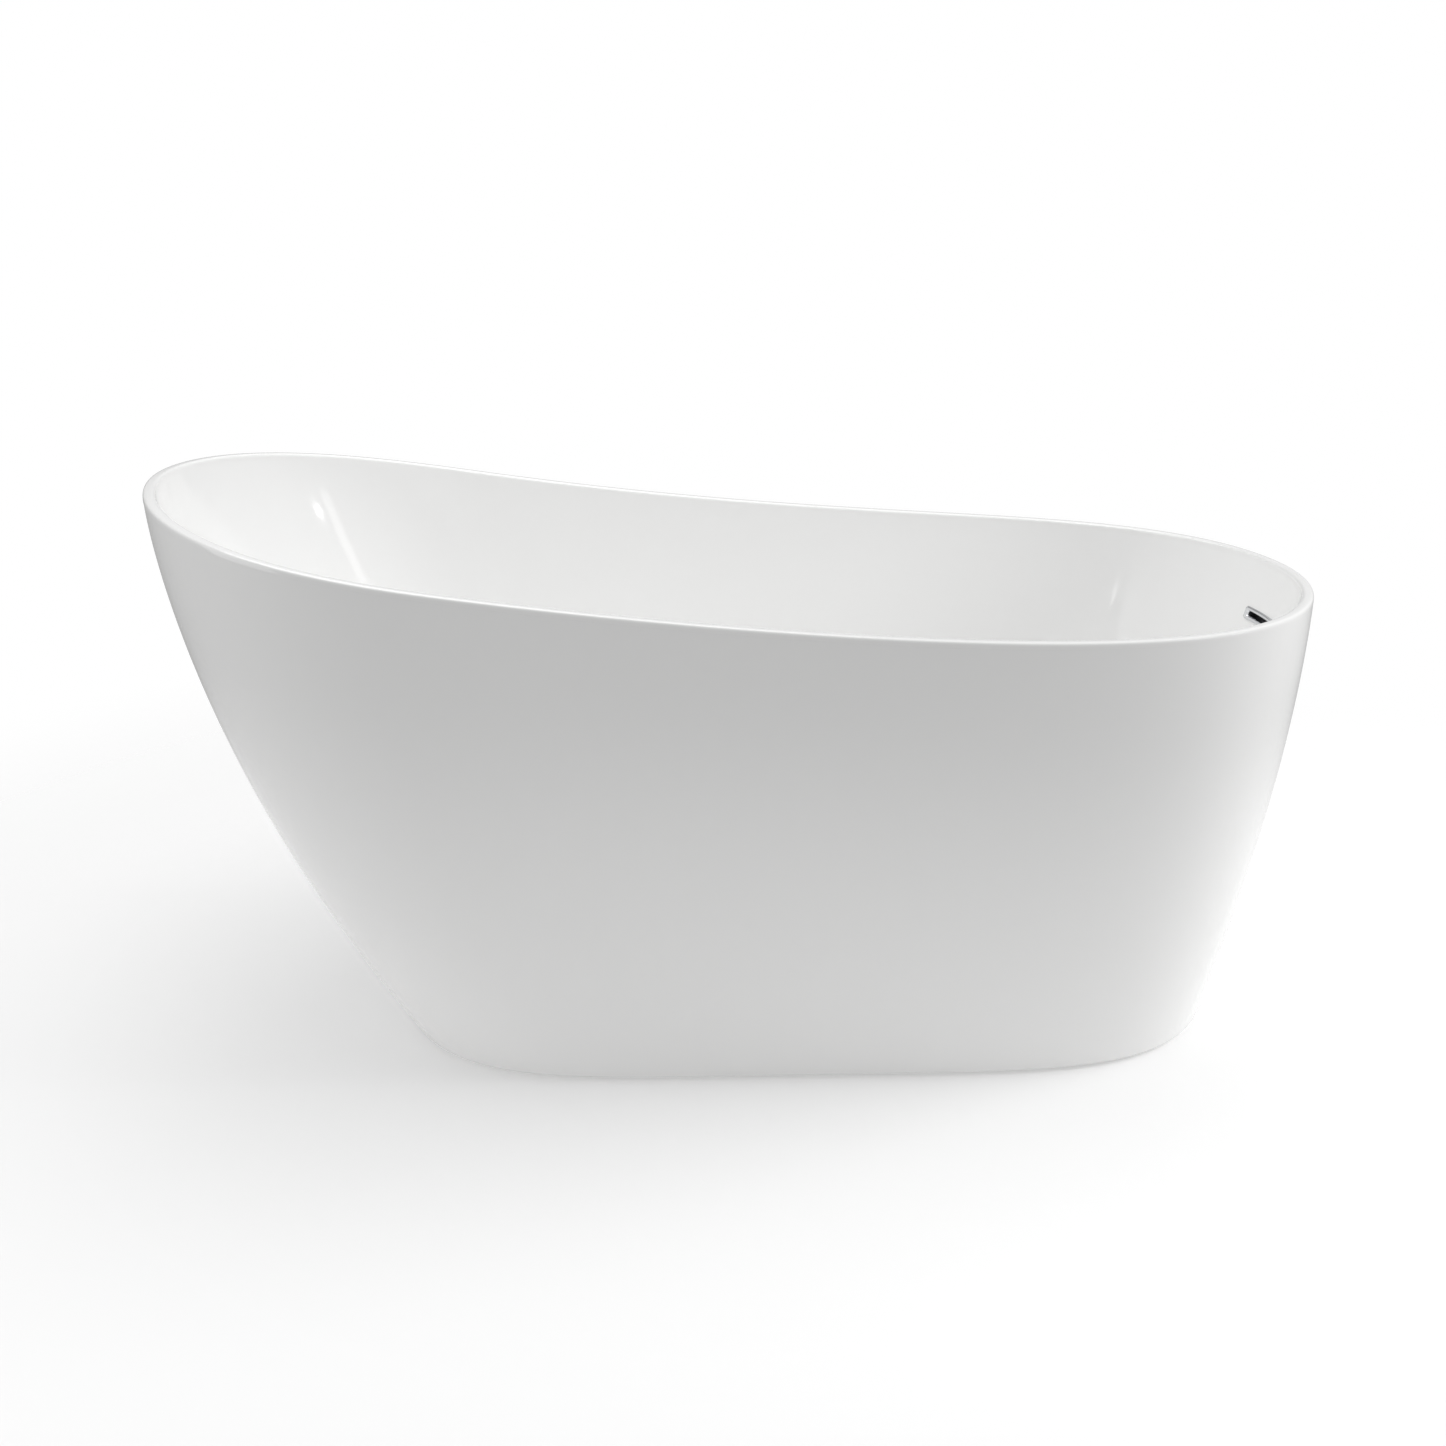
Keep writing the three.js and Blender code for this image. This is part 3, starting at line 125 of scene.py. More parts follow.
class ShellSizes(bpy.types.PropertyGroup):
    """The shape of the basin and the skirt."""

    foot_height: length("Foot height", 0.578, "Floor to the rim at the foot end")
    rim_fall: factor("Rim fall", 2.23, "Power of the rim's fall from the head end")
    head_overhang: length("Head overhang", 0.295, "Rim past the base at the head end")
    foot_overhang: length("Foot overhang", 0.102, "Rim past the base at the foot end")
    side_overhang: length("Side overhang", 0.068, "Rim past the base at each side")
    head_bulge: factor("Head bulge", 1.46, "How far the head end's ribs bend upright")
    side_bulge: factor("Side bulge", 2.2, "How far the sides' ribs bend upright")
    foot_bulge: factor("Foot bulge", 1.58, "How far the foot end's ribs bend upright")
    rim_width: length("Rim width", 0.015, "Width of the rolled rim")
    lip_drop: length("Lip drop", 0.008, "How far the lip comes down over the skirt")
    wall: length("Wall", 0.005, "Thickness of both shells")
    clearance: length("Clearance", 0.005, "Floor to the skirt's bottom edge")
    flange_width: length("Flange", 0.032, "The skirt's inward return at the bottom")
    floor_height: length("Floor height", 0.150, "Floor to the top of the basin's floor")
    floor_fall: length("Floor fall", 0.003, "Fall of the basin's floor to the drain end")


class FittingSizes(bpy.types.PropertyGroup):
    """The sizes of the drain, the overflow, the hose and the feet."""

    hole: length("Drain hole", 0.024, "Radius of the hole in the basin's floor")
    bore: length("Drain bore", 0.020, "Radius of the drain's bore")
    dish: length("Dish", 0.042, "Radius of the flat of the dish round the drain")
    dish_depth: length("Dish depth", 0.003, "Depth of the dish")
    slot_length: length("Slot length", 0.140, "Length of the overflow's opening")
    slot_height: length("Slot height", 0.006, "Height of the overflow's opening")
    trim_length: length("Trim length", 0.158, "Length of the overflow's trim ring")
    trim_height: length("Trim height", 0.018, "Height of the overflow's trim ring")
    hose_radius: length("Hose radius", 0.013, "Outer radius of the overflow hose")
    stud_radius: length("Stud radius", 0.006, "Radius of the levelling studs")
    thread_pitch: length("Thread pitch", 0.00175, "Pitch of the levelling studs")
    rail_wall: length("Rail wall", 0.002, "Wall of the square tube")


class Finishes(bpy.types.PropertyGroup):
    """The colours of the finishes."""

    acrylic: tint("Acrylic", (0.90, 0.90, 0.895), "Gloss sheet of both shells")
    backing: tint("Backing", (0.62, 0.60, 0.52), "Sprayed resin behind both shells")
    chrome: tint("Chrome", (0.80, 0.81, 0.83), "Drain and overflow trim")
    steel: tint("Galvanised steel", (0.52, 0.54, 0.56), "Rails and brackets")
    zinc: tint("Zinc plate", (0.66, 0.66, 0.64), "Screws, studs and clamps")
    plywood: tint("Plywood", (0.62, 0.43, 0.24), "Base board")
    rubber: tint("Rubber", (0.030, 0.030, 0.032), "Seals")
    black: tint("Black plastic", (0.035, 0.036, 0.040), "Foot pads")
    white: tint("White plastic", (0.80, 0.80, 0.77), "Waste and overflow bodies")
    hose: tint("Hose plastic", (0.66, 0.67, 0.66), "Overflow hose")
    brass: tint("Brass", (0.74, 0.55, 0.24), "Lock nut, cartridge and plunger")


class Studio(bpy.types.PropertyGroup):
    """The floor, the lights and the camera."""

    floor_colour: tint("Floor", (0.86, 0.86, 0.86), "Pale floor")
    floor_glow: factor("Floor glow", 0.20, "Light that the floor gives off, for a shadow that is faint")
    sky: factor("Sky", 0.40, "Strength of the even light from all round")
    top_light: factor("Top light", 26.0, "Power of the soft light overhead", high=500)
    end_light: factor("End light", 31.0, "Power of the panel beyond the foot end", high=500)
    head_light: factor("Head light", 9.0, "Power of the panel beyond the head end", high=500)
    spark: factor("Spark", 0.7, "Power of the small light that the wet wall mirrors", high=500)
    streak: factor("Streak", 1.2, "Power of the tall narrow light that the wet wall mirrors", high=500)
    lens: factor("Lens", 44.27, "Focal length in millimetres", high=300)
    azimuth: factor("Azimuth", -1.96, "Camera's angle round the tub", low=-180, high=180)
    elevation: factor("Elevation", 18.61, "Camera's angle above level", low=-90, high=90)
    distance: length("Distance", 2.4154, "Camera to the point that it looks at")


def shell():
    """The shells' sizes."""
    return bpy.context.scene.bath_shell


def fitting():
    """The fittings' sizes."""
    return bpy.context.scene.bath_fitting


# ------------------------------------------------------------------ meshes from grids of points


def quads_of(rows, columns, wrap_rows=False, wrap_columns=True):
    """Faces of a grid of points numbered row by row: each joins a point, its neighbour, and the
    two across in the next row. A wrapped direction also joins its last line to its first."""
    row = np.arange(rows if wrap_rows else rows - 1)
    column = np.arange(columns if wrap_columns else columns - 1)
    row, column = np.meshgrid(row, column, indexing="ij")
    below, beside = (row + 1) % rows, (column + 1) % columns
    faces = [row * columns + column, row * columns + beside]
    faces += [below * columns + beside, below * columns + column]
    return np.stack(faces, -1).reshape(-1, 4)


class Skin:
    """Grids of points gathered into one mesh."""

    def __init__(self):
        self.points, self.faces, self.count = [], [], 0

    def grid(self, points, wrap_rows=False, wrap_columns=True, faces=None):
        """Adds a grid of points; faces replaces its usual faces where it has a hole."""
        rows, columns = points.shape[:2]
        if faces is None:
            faces = quads_of(rows, columns, wrap_rows, wrap_columns)
        self.points.append(points.reshape(-1, 3))
        self.faces.append(faces + self.count)
        self.count += rows * columns
        return self

    def closed(self, points):
        """Adds a ring of rings: both directions wrap."""
        return self.grid(points, wrap_rows=True)

    def capped(self, points):
        """Adds a stack of rings whose two ends are closed to their middle points."""
        first = np.broadcast_to(points[:1].mean(1, keepdims=True), points[:1].shape)
        last = np.broadcast_to(points[-1:].mean(1, keepdims=True), points[-1:].shape)
        return self.grid(np.concatenate([first, points, last]))

    def mesh(self, name, sharp=38.0):
        """The mesh, with doubles merged, faces turned outwards and smooth below the sharp angle."""
        mesh = bpy.data.meshes.new(name)
        mesh.from_pydata(np.concatenate(self.points).tolist(), [], np.concatenate(self.faces).tolist())
        work = bmesh.new()
        work.from_mesh(mesh)
        bmesh.ops.remove_doubles(work, verts=work.verts, dist=1e-6)
        bmesh.ops.dissolve_degenerate(work, edges=work.edges, dist=1e-7)
        bmesh.ops.recalc_face_normals(work, faces=work.faces)
        work.to_mesh(mesh)
        work.free()
        mesh.shade_smooth()
        mesh.set_sharp_from_angle(angle=math.radians(sharp))
        return mesh


def stand_for(node, skin, sharp=38.0):
    """Makes the piece that stands for a CAD node, on the same body and material slot."""
    piece = bpy.data.objects.new(f"fine_{node}", skin.mesh(f"fine_{node}", sharp))
    bpy.context.scene.collection.objects.link(piece)
    piece.data.materials.append(look_of(node))
    body = next(name for name, nodes in BODIES.items() if node in nodes)
    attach(piece, body)
    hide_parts(node)
    return piece


def eased(outline, radius, steps=4):
    """A closed outline whose corners are rounded. Each corner gives way to a quadratic curve that
    starts and ends a radius away along its two sides, or 0.45 of the shorter side if that is less.
    A corner on the axis, where the first number is zero, stays sharp."""
    points = np.asarray(outline, float)
    back, ahead = np.roll(points, 1, 0) - points, np.roll(points, -1, 0) - points
    back_length = np.linalg.norm(back, axis=1, keepdims=True)
    ahead_length = np.linalg.norm(ahead, axis=1, keepdims=True)
    reach = np.minimum(radius, 0.45 * np.minimum(back_length, ahead_length))
    reach = np.where(np.abs(points[:, :1]) < 1e-9, 0.0, reach)
    start = (points + back / back_length * reach)[:, None]
    end = (points + ahead / ahead_length * reach)[:, None]
    share = np.linspace(0, 1, steps + 1)[None, :, None]
    curve = (1 - share) ** 2 * start + 2 * share * (1 - share) * points[:, None] + share**2 * end
    return curve.reshape(-1, points.shape[1])


def turned(profile, segments=64, place=(0.0, 0.0)):
    """A profile of (radius, height) points carried round the vertical axis through place:
    x = place + radius cos, y = place + radius sin, z = height."""
    profile = np.asarray(profile, float)
    radius = np.broadcast_to(profile[:, :1], (len(profile), segments))
    return polar(radius, profile[:, 1:], place)


def polar(radius, height, place=(0.0, 0.0)):
    """A grid given by its radius at each height and angle: one row for each height."""
    angle = np.linspace(0, TURN, radius.shape[1], endpoint=False)
    x = place[0] + radius * np.cos(angle)
    y = place[1] + radius * np.sin(angle)
    return np.stack([x, y, np.broadcast_to(height, x.shape)], -1)


def hexagon(angle, flat):
    """Radius of a hexagon, flat being half its width across flats: flat over the cosine of the
    angle from the middle of the nearest flat."""
    return flat / np.cos((angle + math.pi / 6) % (math.pi / 3) - math.pi / 6)


def hexagon_prism(flat, low, high, place, bore, skin):
    """Adds a chamfered hexagon to a skin: its radius is the hexagon's, or less near both ends, where
    a cone cuts the corners. With a bore it is a nut, otherwise its ends are flat and closed."""
    angle = np.linspace(0, TURN, 96, endpoint=False)
    height = low + (high - low) * np.array([0, 0.06, 0.15, 0.3, 0.5, 0.7, 0.85, 0.94, 1.0])[:, None]
    edge = np.minimum(height - low, high - height)
    outer = polar(np.minimum(hexagon(angle, flat)[None], flat * 0.97 + edge * 1.7), height, place)
    if not bore:
        return skin.capped(outer)
    levels = [high, high - 0.0006, low + 0.0006, low]
    inner = turned(list(zip([bore + 0.0004, bore, bore, bore + 0.0004], levels)), 96, place)
    return skin.closed(np.concatenate([outer, inner]))


def threaded(radius, depth, pitch, low, high, place, segments=32, steps=8):
    """A screw thread: the radius drops by depth times a rounded triangle wave of height over pitch
    less the turn, and the wave dies away at both ends."""
    count = max(4, int((high - low) / pitch * steps))
    height = np.linspace(low, high, count + 1)[:, None]
    angle = np.linspace(0, TURN, segments, endpoint=False)[None]
    wave = 0.5 - 0.5 * np.cos(TURN * (height - low) / pitch - angle)
    fade = np.clip(np.minimum(height - low, high - height) / pitch, 0, 1)
    return polar(radius - depth * wave**0.8 * fade - depth * (1 - fade), height, place)


def across(points, axis_level):
    """Turns an upright piece about the y axis so that its axis lies along x at axis_level: its
    height becomes x and its x goes down."""
    x, y, z = np.moveaxis(points, -1, 0)
    return np.stack([z, y, axis_level - x], -1)


def upside_down(points, level):
    """Turns a piece over about the x axis and puts its z = 0 at level."""
    return np.stack([points[..., 0], -points[..., 1], level - points[..., 2]], -1)


# ------------------------------------------------------------------ the shells' surfaces


def power(value, exponent):
    """A signed power: the sign of the value times its size to the exponent."""
    return np.sign(value) * np.abs(value) ** exponent


class Outline:
    """A plan outline: x = widest + reach c^(2/square) and y = half s^(2/round), where c and s are
    the signed cosine and sine of the angle, and reach, square and round differ at the two ends."""

    def __init__(self, head, foot, half, widest, squares, rounds):
        self.head, self.foot, self.half, self.widest = head, foot, half, widest
        self.squares, self.rounds = squares, rounds

    def at(self, angle):
        """The outline's plan points at some angles."""
        cosine, sine = np.cos(angle), np.sin(angle)
        to_head = cosine < 0
        square = np.where(to_head, *self.squares)
        rounding = np.where(to_head, *self.rounds)
        reach = np.where(to_head, self.widest + self.head, self.foot - self.widest)
        x = self.widest + reach * power(cosine, 2 / square)
        return np.stack([x, self.half * power(sine, 2 / rounding)], -1)

    def outwards(self, angle):
        """The level unit vector out of the outline: its tangent, turned a quarter right."""
        along = self.at(angle + 1e-4) - self.at(angle - 1e-4)
        along /= np.linalg.norm(along, axis=-1, keepdims=True)
        return np.stack([along[..., 1], -along[..., 0], np.zeros_like(along[..., 0])], -1)


def around(angle, side, head, foot):
    """Blends a value from the sides to the head or foot end by the square of the cosine."""
    cosine = np.cos(angle)
    return side + (np.where(cosine < 0, head, foot) - side) * cosine**2


def unit(vectors):
    """The vectors at length one."""
    return vectors / np.linalg.norm(vectors, axis=-1, keepdims=True)


class Shells:
    """The surfaces of both shells, from the frame's overall box and the shell sizes."""

    RIM = dict(widest=-0.345, squares=(2.6, 6.0), rounds=(1.95, 1.95))
    BASE = dict(widest=0.078, squares=(5.2, 5.2), rounds=(2.1, 1.95))
    FLOOR = dict(squares=(2.6, 3.0), rounds=(2.2, 2.2))
    FLOOR_INSETS = (0.166, 0.116, 0.111)  # from the base's outline, at head, foot and sides

    def __init__(self):
        self.sizes = sizes = shell()
        half_length, half_width = BASIN_HIGH[0], BASIN_HIGH[1]
        self.head_height, self.half_length = BASIN_HIGH[2], half_length
        self.rim = Outline(half_length, half_length, half_width, **self.RIM)
        head = half_length - sizes.head_overhang
        foot = half_length - sizes.foot_overhang
        side = half_width - sizes.side_overhang
        self.base = Outline(head, foot, side, **self.BASE)
        insets = self.FLOOR_INSETS
        head, foot, side = head - insets[0], foot - insets[1], side - insets[2]
        self.floor = Outline(head, foot, side, widest=(foot - head) / 2, **self.FLOOR)
        self.underside = BASIN_LOW[2]

    def rim_height(self, x):
        """Foot height plus the rise to the head end times the share of length left, to a power."""
        left = np.clip(1 - (x + self.half_length) / (2 * self.half_length), 0, 1)
        rise = self.head_height - self.sizes.foot_height
        return self.sizes.foot_height + rise * left**self.sizes.rim_fall

    def rim_point(self, angle, inset, drop):
        """The rim's outline moved in by inset, at the rim's height less drop."""
        edge = self.rim.at(angle)
        level = self.rim_height(edge[..., 0]) - drop
        out = self.rim.outwards(angle)
        plan = np.concatenate([edge, np.zeros_like(edge[..., :1])], -1)
        plan = plan - out * np.asarray(inset)[..., None]
        plan[..., 2] = level
        return plan

    def skirt_point(self, angle, z):
        """Between the base and rim outlines by 1 - (1 - z / rim height)^bulge."""
        rim, base = self.rim.at(angle), self.base.at(angle)
        sizes = self.sizes
        bulge = around(angle, sizes.side_bulge, sizes.head_bulge, sizes.foot_bulge)
        share = np.clip(1 - z / self.rim_height(rim[..., 0]), 0, 1)
        out = (1 - share**bulge)[..., None]
        plan = base + (rim - base) * out
        return np.concatenate([plan, np.broadcast_to(z, plan.shape[:-1])[..., None]], -1)

    def skirt_inner(self, angle, z, inset):
        """The skirt's point moved in by inset, square to its outline at that level."""
        step = 1e-4
        along = unit(self.skirt_point(angle + step, z) - self.skirt_point(angle - step, z))
        inwards = np.stack([-along[..., 1], along[..., 0], np.zeros_like(along[..., 0])], -1)
        return self.skirt_point(angle, z) + inwards * np.asarray(inset)[..., None]

    def floor_level(self, x):
        """The floor falls evenly from its head end to its foot end."""
        share = (x + self.floor.head) / (self.floor.foot + self.floor.head)
        return self.sizes.floor_height - self.sizes.floor_fall * share

    def wall_point(self, angle, share):
        """The wet wall: a cubic curve from the rim's inner edge down to the floor's outline, its
        first handle below the rim and leaning out, its last handle level."""
        rim = self.sizes.rim_width
        top = self.rim_point(angle, rim, rim / 2)
        plan = self.floor.at(angle)
        bottom = np.concatenate([plan, self.floor_level(plan[..., 0])[..., None]], -1)
        outward = (top - bottom) * np.array([1.0, 1.0, 0.0])
        drop = (top - bottom)[..., 2] * around(angle, 0.36, 0.30, 0.36)
        lean = unit(outward) * (-drop * around(angle, 0.1, 0.12, 0.2))[..., None]
        upper = top + lean - drop[..., None] * np.array([0.0, 0.0, 1.0])
        lower = bottom + outward * around(angle, 0.5, 0.56, 0.5)[..., None]
        t = np.asarray(share)[..., None]
        return (
            (1 - t) ** 3 * top
            + 3 * (1 - t) ** 2 * t * upper
            + 3 * (1 - t) * t**2 * lower
            + t**3 * bottom
        )

    def wall_normal(self, angle, share):
        """Out of the water: the way down the wall crossed with the way round it."""
        step = 1e-3
        round_it = self.wall_point(angle + step, share) - self.wall_point(angle - step, share)
        low, high = np.clip(share - step, 0, 1), np.clip(share + step, 0, 1)
        down = self.wall_point(angle, high) - self.wall_point(angle, low)
        return unit(np.cross(down, round_it))

    def back_point(self, angle, share):
        """The wall's back: the wall's thickness out along its normal, more near the floor, where
        it grows by the square of the way left to reach the level underside."""
        bottom = self.wall_point(angle, np.ones_like(share))
        extra = bottom[..., 2] - self.underside - self.sizes.wall
        grown = np.clip((share - 0.75) / 0.25, 0, 1) ** 2
        thickness = self.sizes.wall + extra * grown
        return self.wall_point(angle, share) + self.wall_normal(angle, share) * thickness[..., None]

    def columns(self, count):
        """Angles from -180 to 180 degrees that space the columns evenly along the rim: the arc
        length is summed on a fine grid that crowds towards the ends, then read backwards."""
        share = np.linspace(0, 1, 1500)
        near_end = np.arccos(share**3)
        fine = np.unique(np.concatenate([math.pi * share, near_end, math.pi - near_end]))
        steps = np.linalg.norm(np.diff(self.rim.at(fine), axis=0), axis=1)
        along = np.concatenate([[0.0], np.cumsum(steps)])
        half = np.interp(np.linspace(0, along[-1], count // 2 + 1), along, fine)
        return np.concatenate([-half[:0:-1], half[:-1]])

    def wall_fit(self):
        """The wet wall round the overflow as x = a polynomial of y and z, by least squares on a
        patch of the wall. Returns a function that gives points and normals."""
        share = np.linspace(0.02, 0.5, 60)[:, None]
        angle = np.linspace(-0.6, 0.6, 61)[None] + 0 * share
        patch = self.wall_point(angle, share + 0 * angle).reshape(-1, 3)
        near = (np.abs(patch[:, 1]) < 0.13) & (np.abs(patch[:, 2] - TRIM_LEVEL) < 0.05)
        y, z, x = patch[near, 1], patch[near, 2] - TRIM_LEVEL, patch[near, 0]

        def terms(y, z):
            powers = [np.ones_like(y), z, z**2, z**3, y**2, y**2 * z, y**2 * z**2, y**4, y**4 * z]
            return np.stack(powers, -1)

        weights = np.linalg.lstsq(terms(y, z), x, rcond=None)[0]

        def surface(y, z):
            height = z - TRIM_LEVEL
            step = 1e-4
            point = terms(y, height) @ weights
            slope_y = (terms(y + step, height) - terms(y - step, height)) @ weights / (2 * step)
            slope_z = (terms(y, height + step) - terms(y, height - step)) @ weights / (2 * step)
            normal = unit(np.stack([np.ones_like(y), -slope_y, -slope_z], -1))
            return np.stack([point, y, z], -1), normal

        return surface

    def gap_at(self, levels):
        """The basin's back and the skirt's inside at the foot end: their x at some levels."""
        back = self.back_point(np.zeros(400), np.linspace(0.02, 0.98, 400))
        count = len(levels)
        skirt = self.skirt_inner(np.zeros(count), levels, np.full(count, self.sizes.wall))
        return np.interp(-levels, -back[:, 2], back[:, 0]), skirt[:, 0]


# ------------------------------------------------------------------ shader maths and finishes


class Value:
    """A shader socket; an expression on values adds the Math nodes that work it out."""

    def __init__(self, finish, socket):
        self.finish, self.socket = finish, socket

    def _with(self, operation, first, second):
        return self.finish.node("ShaderNodeMath", {"operation": operation}, {0: first, 1: second})

    def __add__(self, other):
        return self._with("ADD", self, other)

    __radd__ = __add__

    def __sub__(self, other):
        return self._with("SUBTRACT", self, other)

    def __rsub__(self, other):
        return self._with("SUBTRACT", other, self)

    def __mul__(self, other):
        return self._with("MULTIPLY", self, other)

    __rmul__ = __mul__


class Finish:
    """One material: a Principled shader and the nodes that vary it over the surface."""

    def __init__(self, name, **constants):
        self.material = bpy.data.materials.new(name)
        self.material.use_nodes = True
        self.tree = self.material.node_tree
        self.shader = self.tree.nodes["Principled BSDF"]
        for socket, value in constants.items():
            self.shader.inputs[socket.replace("_", " ")].default_value = value
        self.places = self.node("ShaderNodeTexCoord", out="Object")

    def node(self, kind, settings=None, sockets=None, out=0):
        """Adds a node: its settings first, then the values or links of its sockets."""
        made = self.tree.nodes.new(kind)
        for name, value in (settings or {}).items():
            if name == "stops":
                ramp = made.color_ramp.elements
                for index, (position, colour) in enumerate(value):
                    stop = ramp[index] if index < 2 else ramp.new(position)
                    stop.position, stop.color = position, (*colour, 1.0)
            else:
                setattr(made, name, value)
        for name, value in (sockets or {}).items():
            if isinstance(value, Value):
                self.tree.links.new(value.socket, made.inputs[name])
            else:
                made.inputs[name].default_value = value
        return Value(self, made.outputs[out])

    def scaled(self, x, y, z):
        """Object coordinates stretched by three factors."""
        return self.node("ShaderNodeMapping", sockets={"Vector": self.places, "Scale": (x, y, z)})

    def noise(self, scale, detail=3.0, roughness=0.5, places=None):
        """Cloudy noise from 0 to 1."""
        sockets = {"Vector": places or self.places, "Scale": scale, "Detail": detail}
        return self.node("ShaderNodeTexNoise", sockets={**sockets, "Roughness": roughness})

    def cells(self, scale, out="Distance"):
        """Voronoi cells."""
        sockets = {"Vector": self.places, "Scale": scale}
        return self.node("ShaderNodeTexVoronoi", sockets=sockets, out=out)

    def ramp(self, share, *stops):
        """A colour from a number through stops."""
        return self.node("ShaderNodeValToRGB", {"stops": stops}, {"Fac": share})

    def mix(self, share, first, second):
        """One colour over another; plain tuples are colours."""
        colours = [c if isinstance(c, Value) else (*c, 1.0) for c in (first, second)]
        sockets = {0: share, 6: colours[0], 7: colours[1]}
        return self.node("ShaderNodeMix", {"data_type": "RGBA"}, sockets, 2)

    def attribute(self, name):
        """A number painted on the mesh."""
        return self.node("ShaderNodeAttribute", {"attribute_name": name}, out="Fac")

    def feed(self, socket, value):
        """Links a value that changes over the surface to the shader."""
        self.tree.links.new(value.socket, self.shader.inputs[socket])

    def bump(self, height, distance):
        """Raises the surface by a height from 0 to 1 times a distance in metres."""
        sockets = {"Height": height, "Distance": distance, "Strength": 1.0}
        self.feed("Normal", self.node("ShaderNodeBump", sockets=sockets))

    def smudged(self, roughness, spread, scale=9.0):
        """Roughness with soft wipes and handling marks."""
        wipes = self.noise(scale, 4.0, 0.6)
        specks = self.noise(scale * 14, 2.0)
        self.feed("Roughness", roughness + (wipes - 0.5) * spread + (specks - 0.5) * (spread * 0.3))


def colours():
    """The finishes' colours."""
    return bpy.context.scene.bath_finishes


def shade(tone, share):
    """A colour times a number."""
    return tuple(share * c for c in tone)


def acrylic():
    """Gloss acrylic with a faint ripple from the mould; where the mesh is painted as backing it is
    the sprayed resin with its chopped strands."""
    finish = Finish("gloss_acrylic", Metallic=0.0, IOR=1.49, Coat_Weight=0.35, Coat_Roughness=0.03)
    backing = finish.attribute("backing")
    cloud = finish.noise(2.2, 2.0)
    tone = colours().acrylic
    sheet = finish.mix(cloud, shade(tone, 0.988), tone)
    strands = finish.noise(70.0, 4.0, 0.7, finish.scaled(1.0, 3.5, 2.0))
    resin = finish.mix(strands, shade(colours().backing, 0.72), colours().backing)
    finish.feed("Base Color", finish.mix(backing, sheet, resin))
    wipes = finish.noise(5.0, 4.0, 0.6)
    gloss = 0.105 + (wipes - 0.5) * 0.035
    finish.feed("Roughness", gloss + backing * (0.5 + strands * 0.2))
    ripple = finish.noise(7.0, 1.0) * 0.12 + finish.noise(420.0, 1.0) * 0.004
    finish.bump(ripple + backing * strands * 1.2, 0.0010)
    return finish.material


def chrome():
    """Polished plate with water marks and fine polishing lines."""
    finish = Finish("polished_chrome", Metallic=1.0)
    film = finish.noise(60.0, 3.0, 0.6)
    tone = colours().chrome
    finish.feed("Base Color", finish.mix(film, shade(tone, 0.93), tone))
    finish.smudged(0.075, 0.05, 40.0)
    finish.bump(finish.noise(900.0, 2.0, 0.5, finish.scaled(1.0, 0.5, 1.0)), 0.000004)
    return finish.material


def galvanised():
    """Zinc spangle: large cells, each of its own grey and dullness, with drag marks."""
    finish = Finish("galvanised_steel", Metallic=1.0)
    spangle = finish.node(
        "ShaderNodeSeparateColor", sockets={"Color": finish.cells(120.0, out="Color")}, out="Red"
    )
    tone = colours().steel
    finish.feed("Base Color", finish.mix(spangle, shade(tone, 0.78), tone))
    drag = finish.noise(40.0, 4.0, 0.6, finish.scaled(0.2, 1.0, 1.0))
    finish.feed("Roughness", 0.34 + spangle * 0.14 + drag * 0.1)
    finish.bump(finish.noise(160.0, 3.0) + spangle * 0.3, 0.00008)
    return finish.material


def zinc():
    """Bright plate with a light straw cast and fine turning marks."""
    finish = Finish("zinc_plate", Metallic=1.0)
    cast = finish.noise(90.0, 3.0)
    tone = colours().zinc
    straw = (tone[0] * 0.96, tone[1] * 0.92, tone[2] * 0.78)
    finish.feed("Base Color", finish.mix(cast, straw, tone))
    finish.smudged(0.30, 0.16, 60.0)
    finish.bump(finish.noise(700.0, 2.0, 0.5, finish.scaled(0.3, 0.3, 3.0)), 0.00003)
    return finish.material


def plywood():
    """Birch plywood: long grain on the faces, and on the edges a stack of light and dark plies."""
    finish = Finish("birch_plywood")
    tone = colours().plywood
    grain = finish.noise(9.0, 6.0, 0.65, finish.scaled(0.8, 9.0, 4.0))
    fine = finish.noise(120.0, 3.0, 0.6, finish.scaled(0.5, 8.0, 1.0))
    figure = finish.ramp(
        grain,
        (0.25, shade(tone, 0.62)),
        (0.55, tone),
        (0.8, tuple(min(1.0, 1.18 * c) for c in tone)),
    )
    ply = finish.node(
        "ShaderNodeTexWave",
        {"wave_type": "BANDS", "bands_direction": "Z"},
        {"Vector": finish.places, "Scale": 95.0, "Distortion": 0.3, "Detail": 2.0},
        out="Fac",
    )
    striped = finish.mix(ply * 0.45, figure, shade(tone, 0.42))
    edge = finish.attribute("edge")
    faces = finish.mix(fine * 0.25, figure, shade(tone, 0.7))
    finish.feed("Base Color", finish.mix(edge, faces, striped))
    finish.feed("Roughness", 0.62 + fine * 0.2)
    finish.bump(fine * 0.6 + grain * 0.4, 0.00025)
    return finish.material


def moulded(name, colour, roughness, grit):
    """Moulded plastic or rubber: slight flow clouds, a fine matt grain and handling marks."""
    finish = Finish(name, Metallic=0.0)
    flow = finish.noise(30.0, 3.0)
    tone = getattr(colours(), colour)
    finish.feed("Base Color", finish.mix(flow, shade(tone, 0.90), tone))
    finish.smudged(roughness, 0.12, 25.0)
    finish.bump(finish.noise(900.0, 2.0) + finish.cells(500.0) * 0.4, grit)
    return finish.material


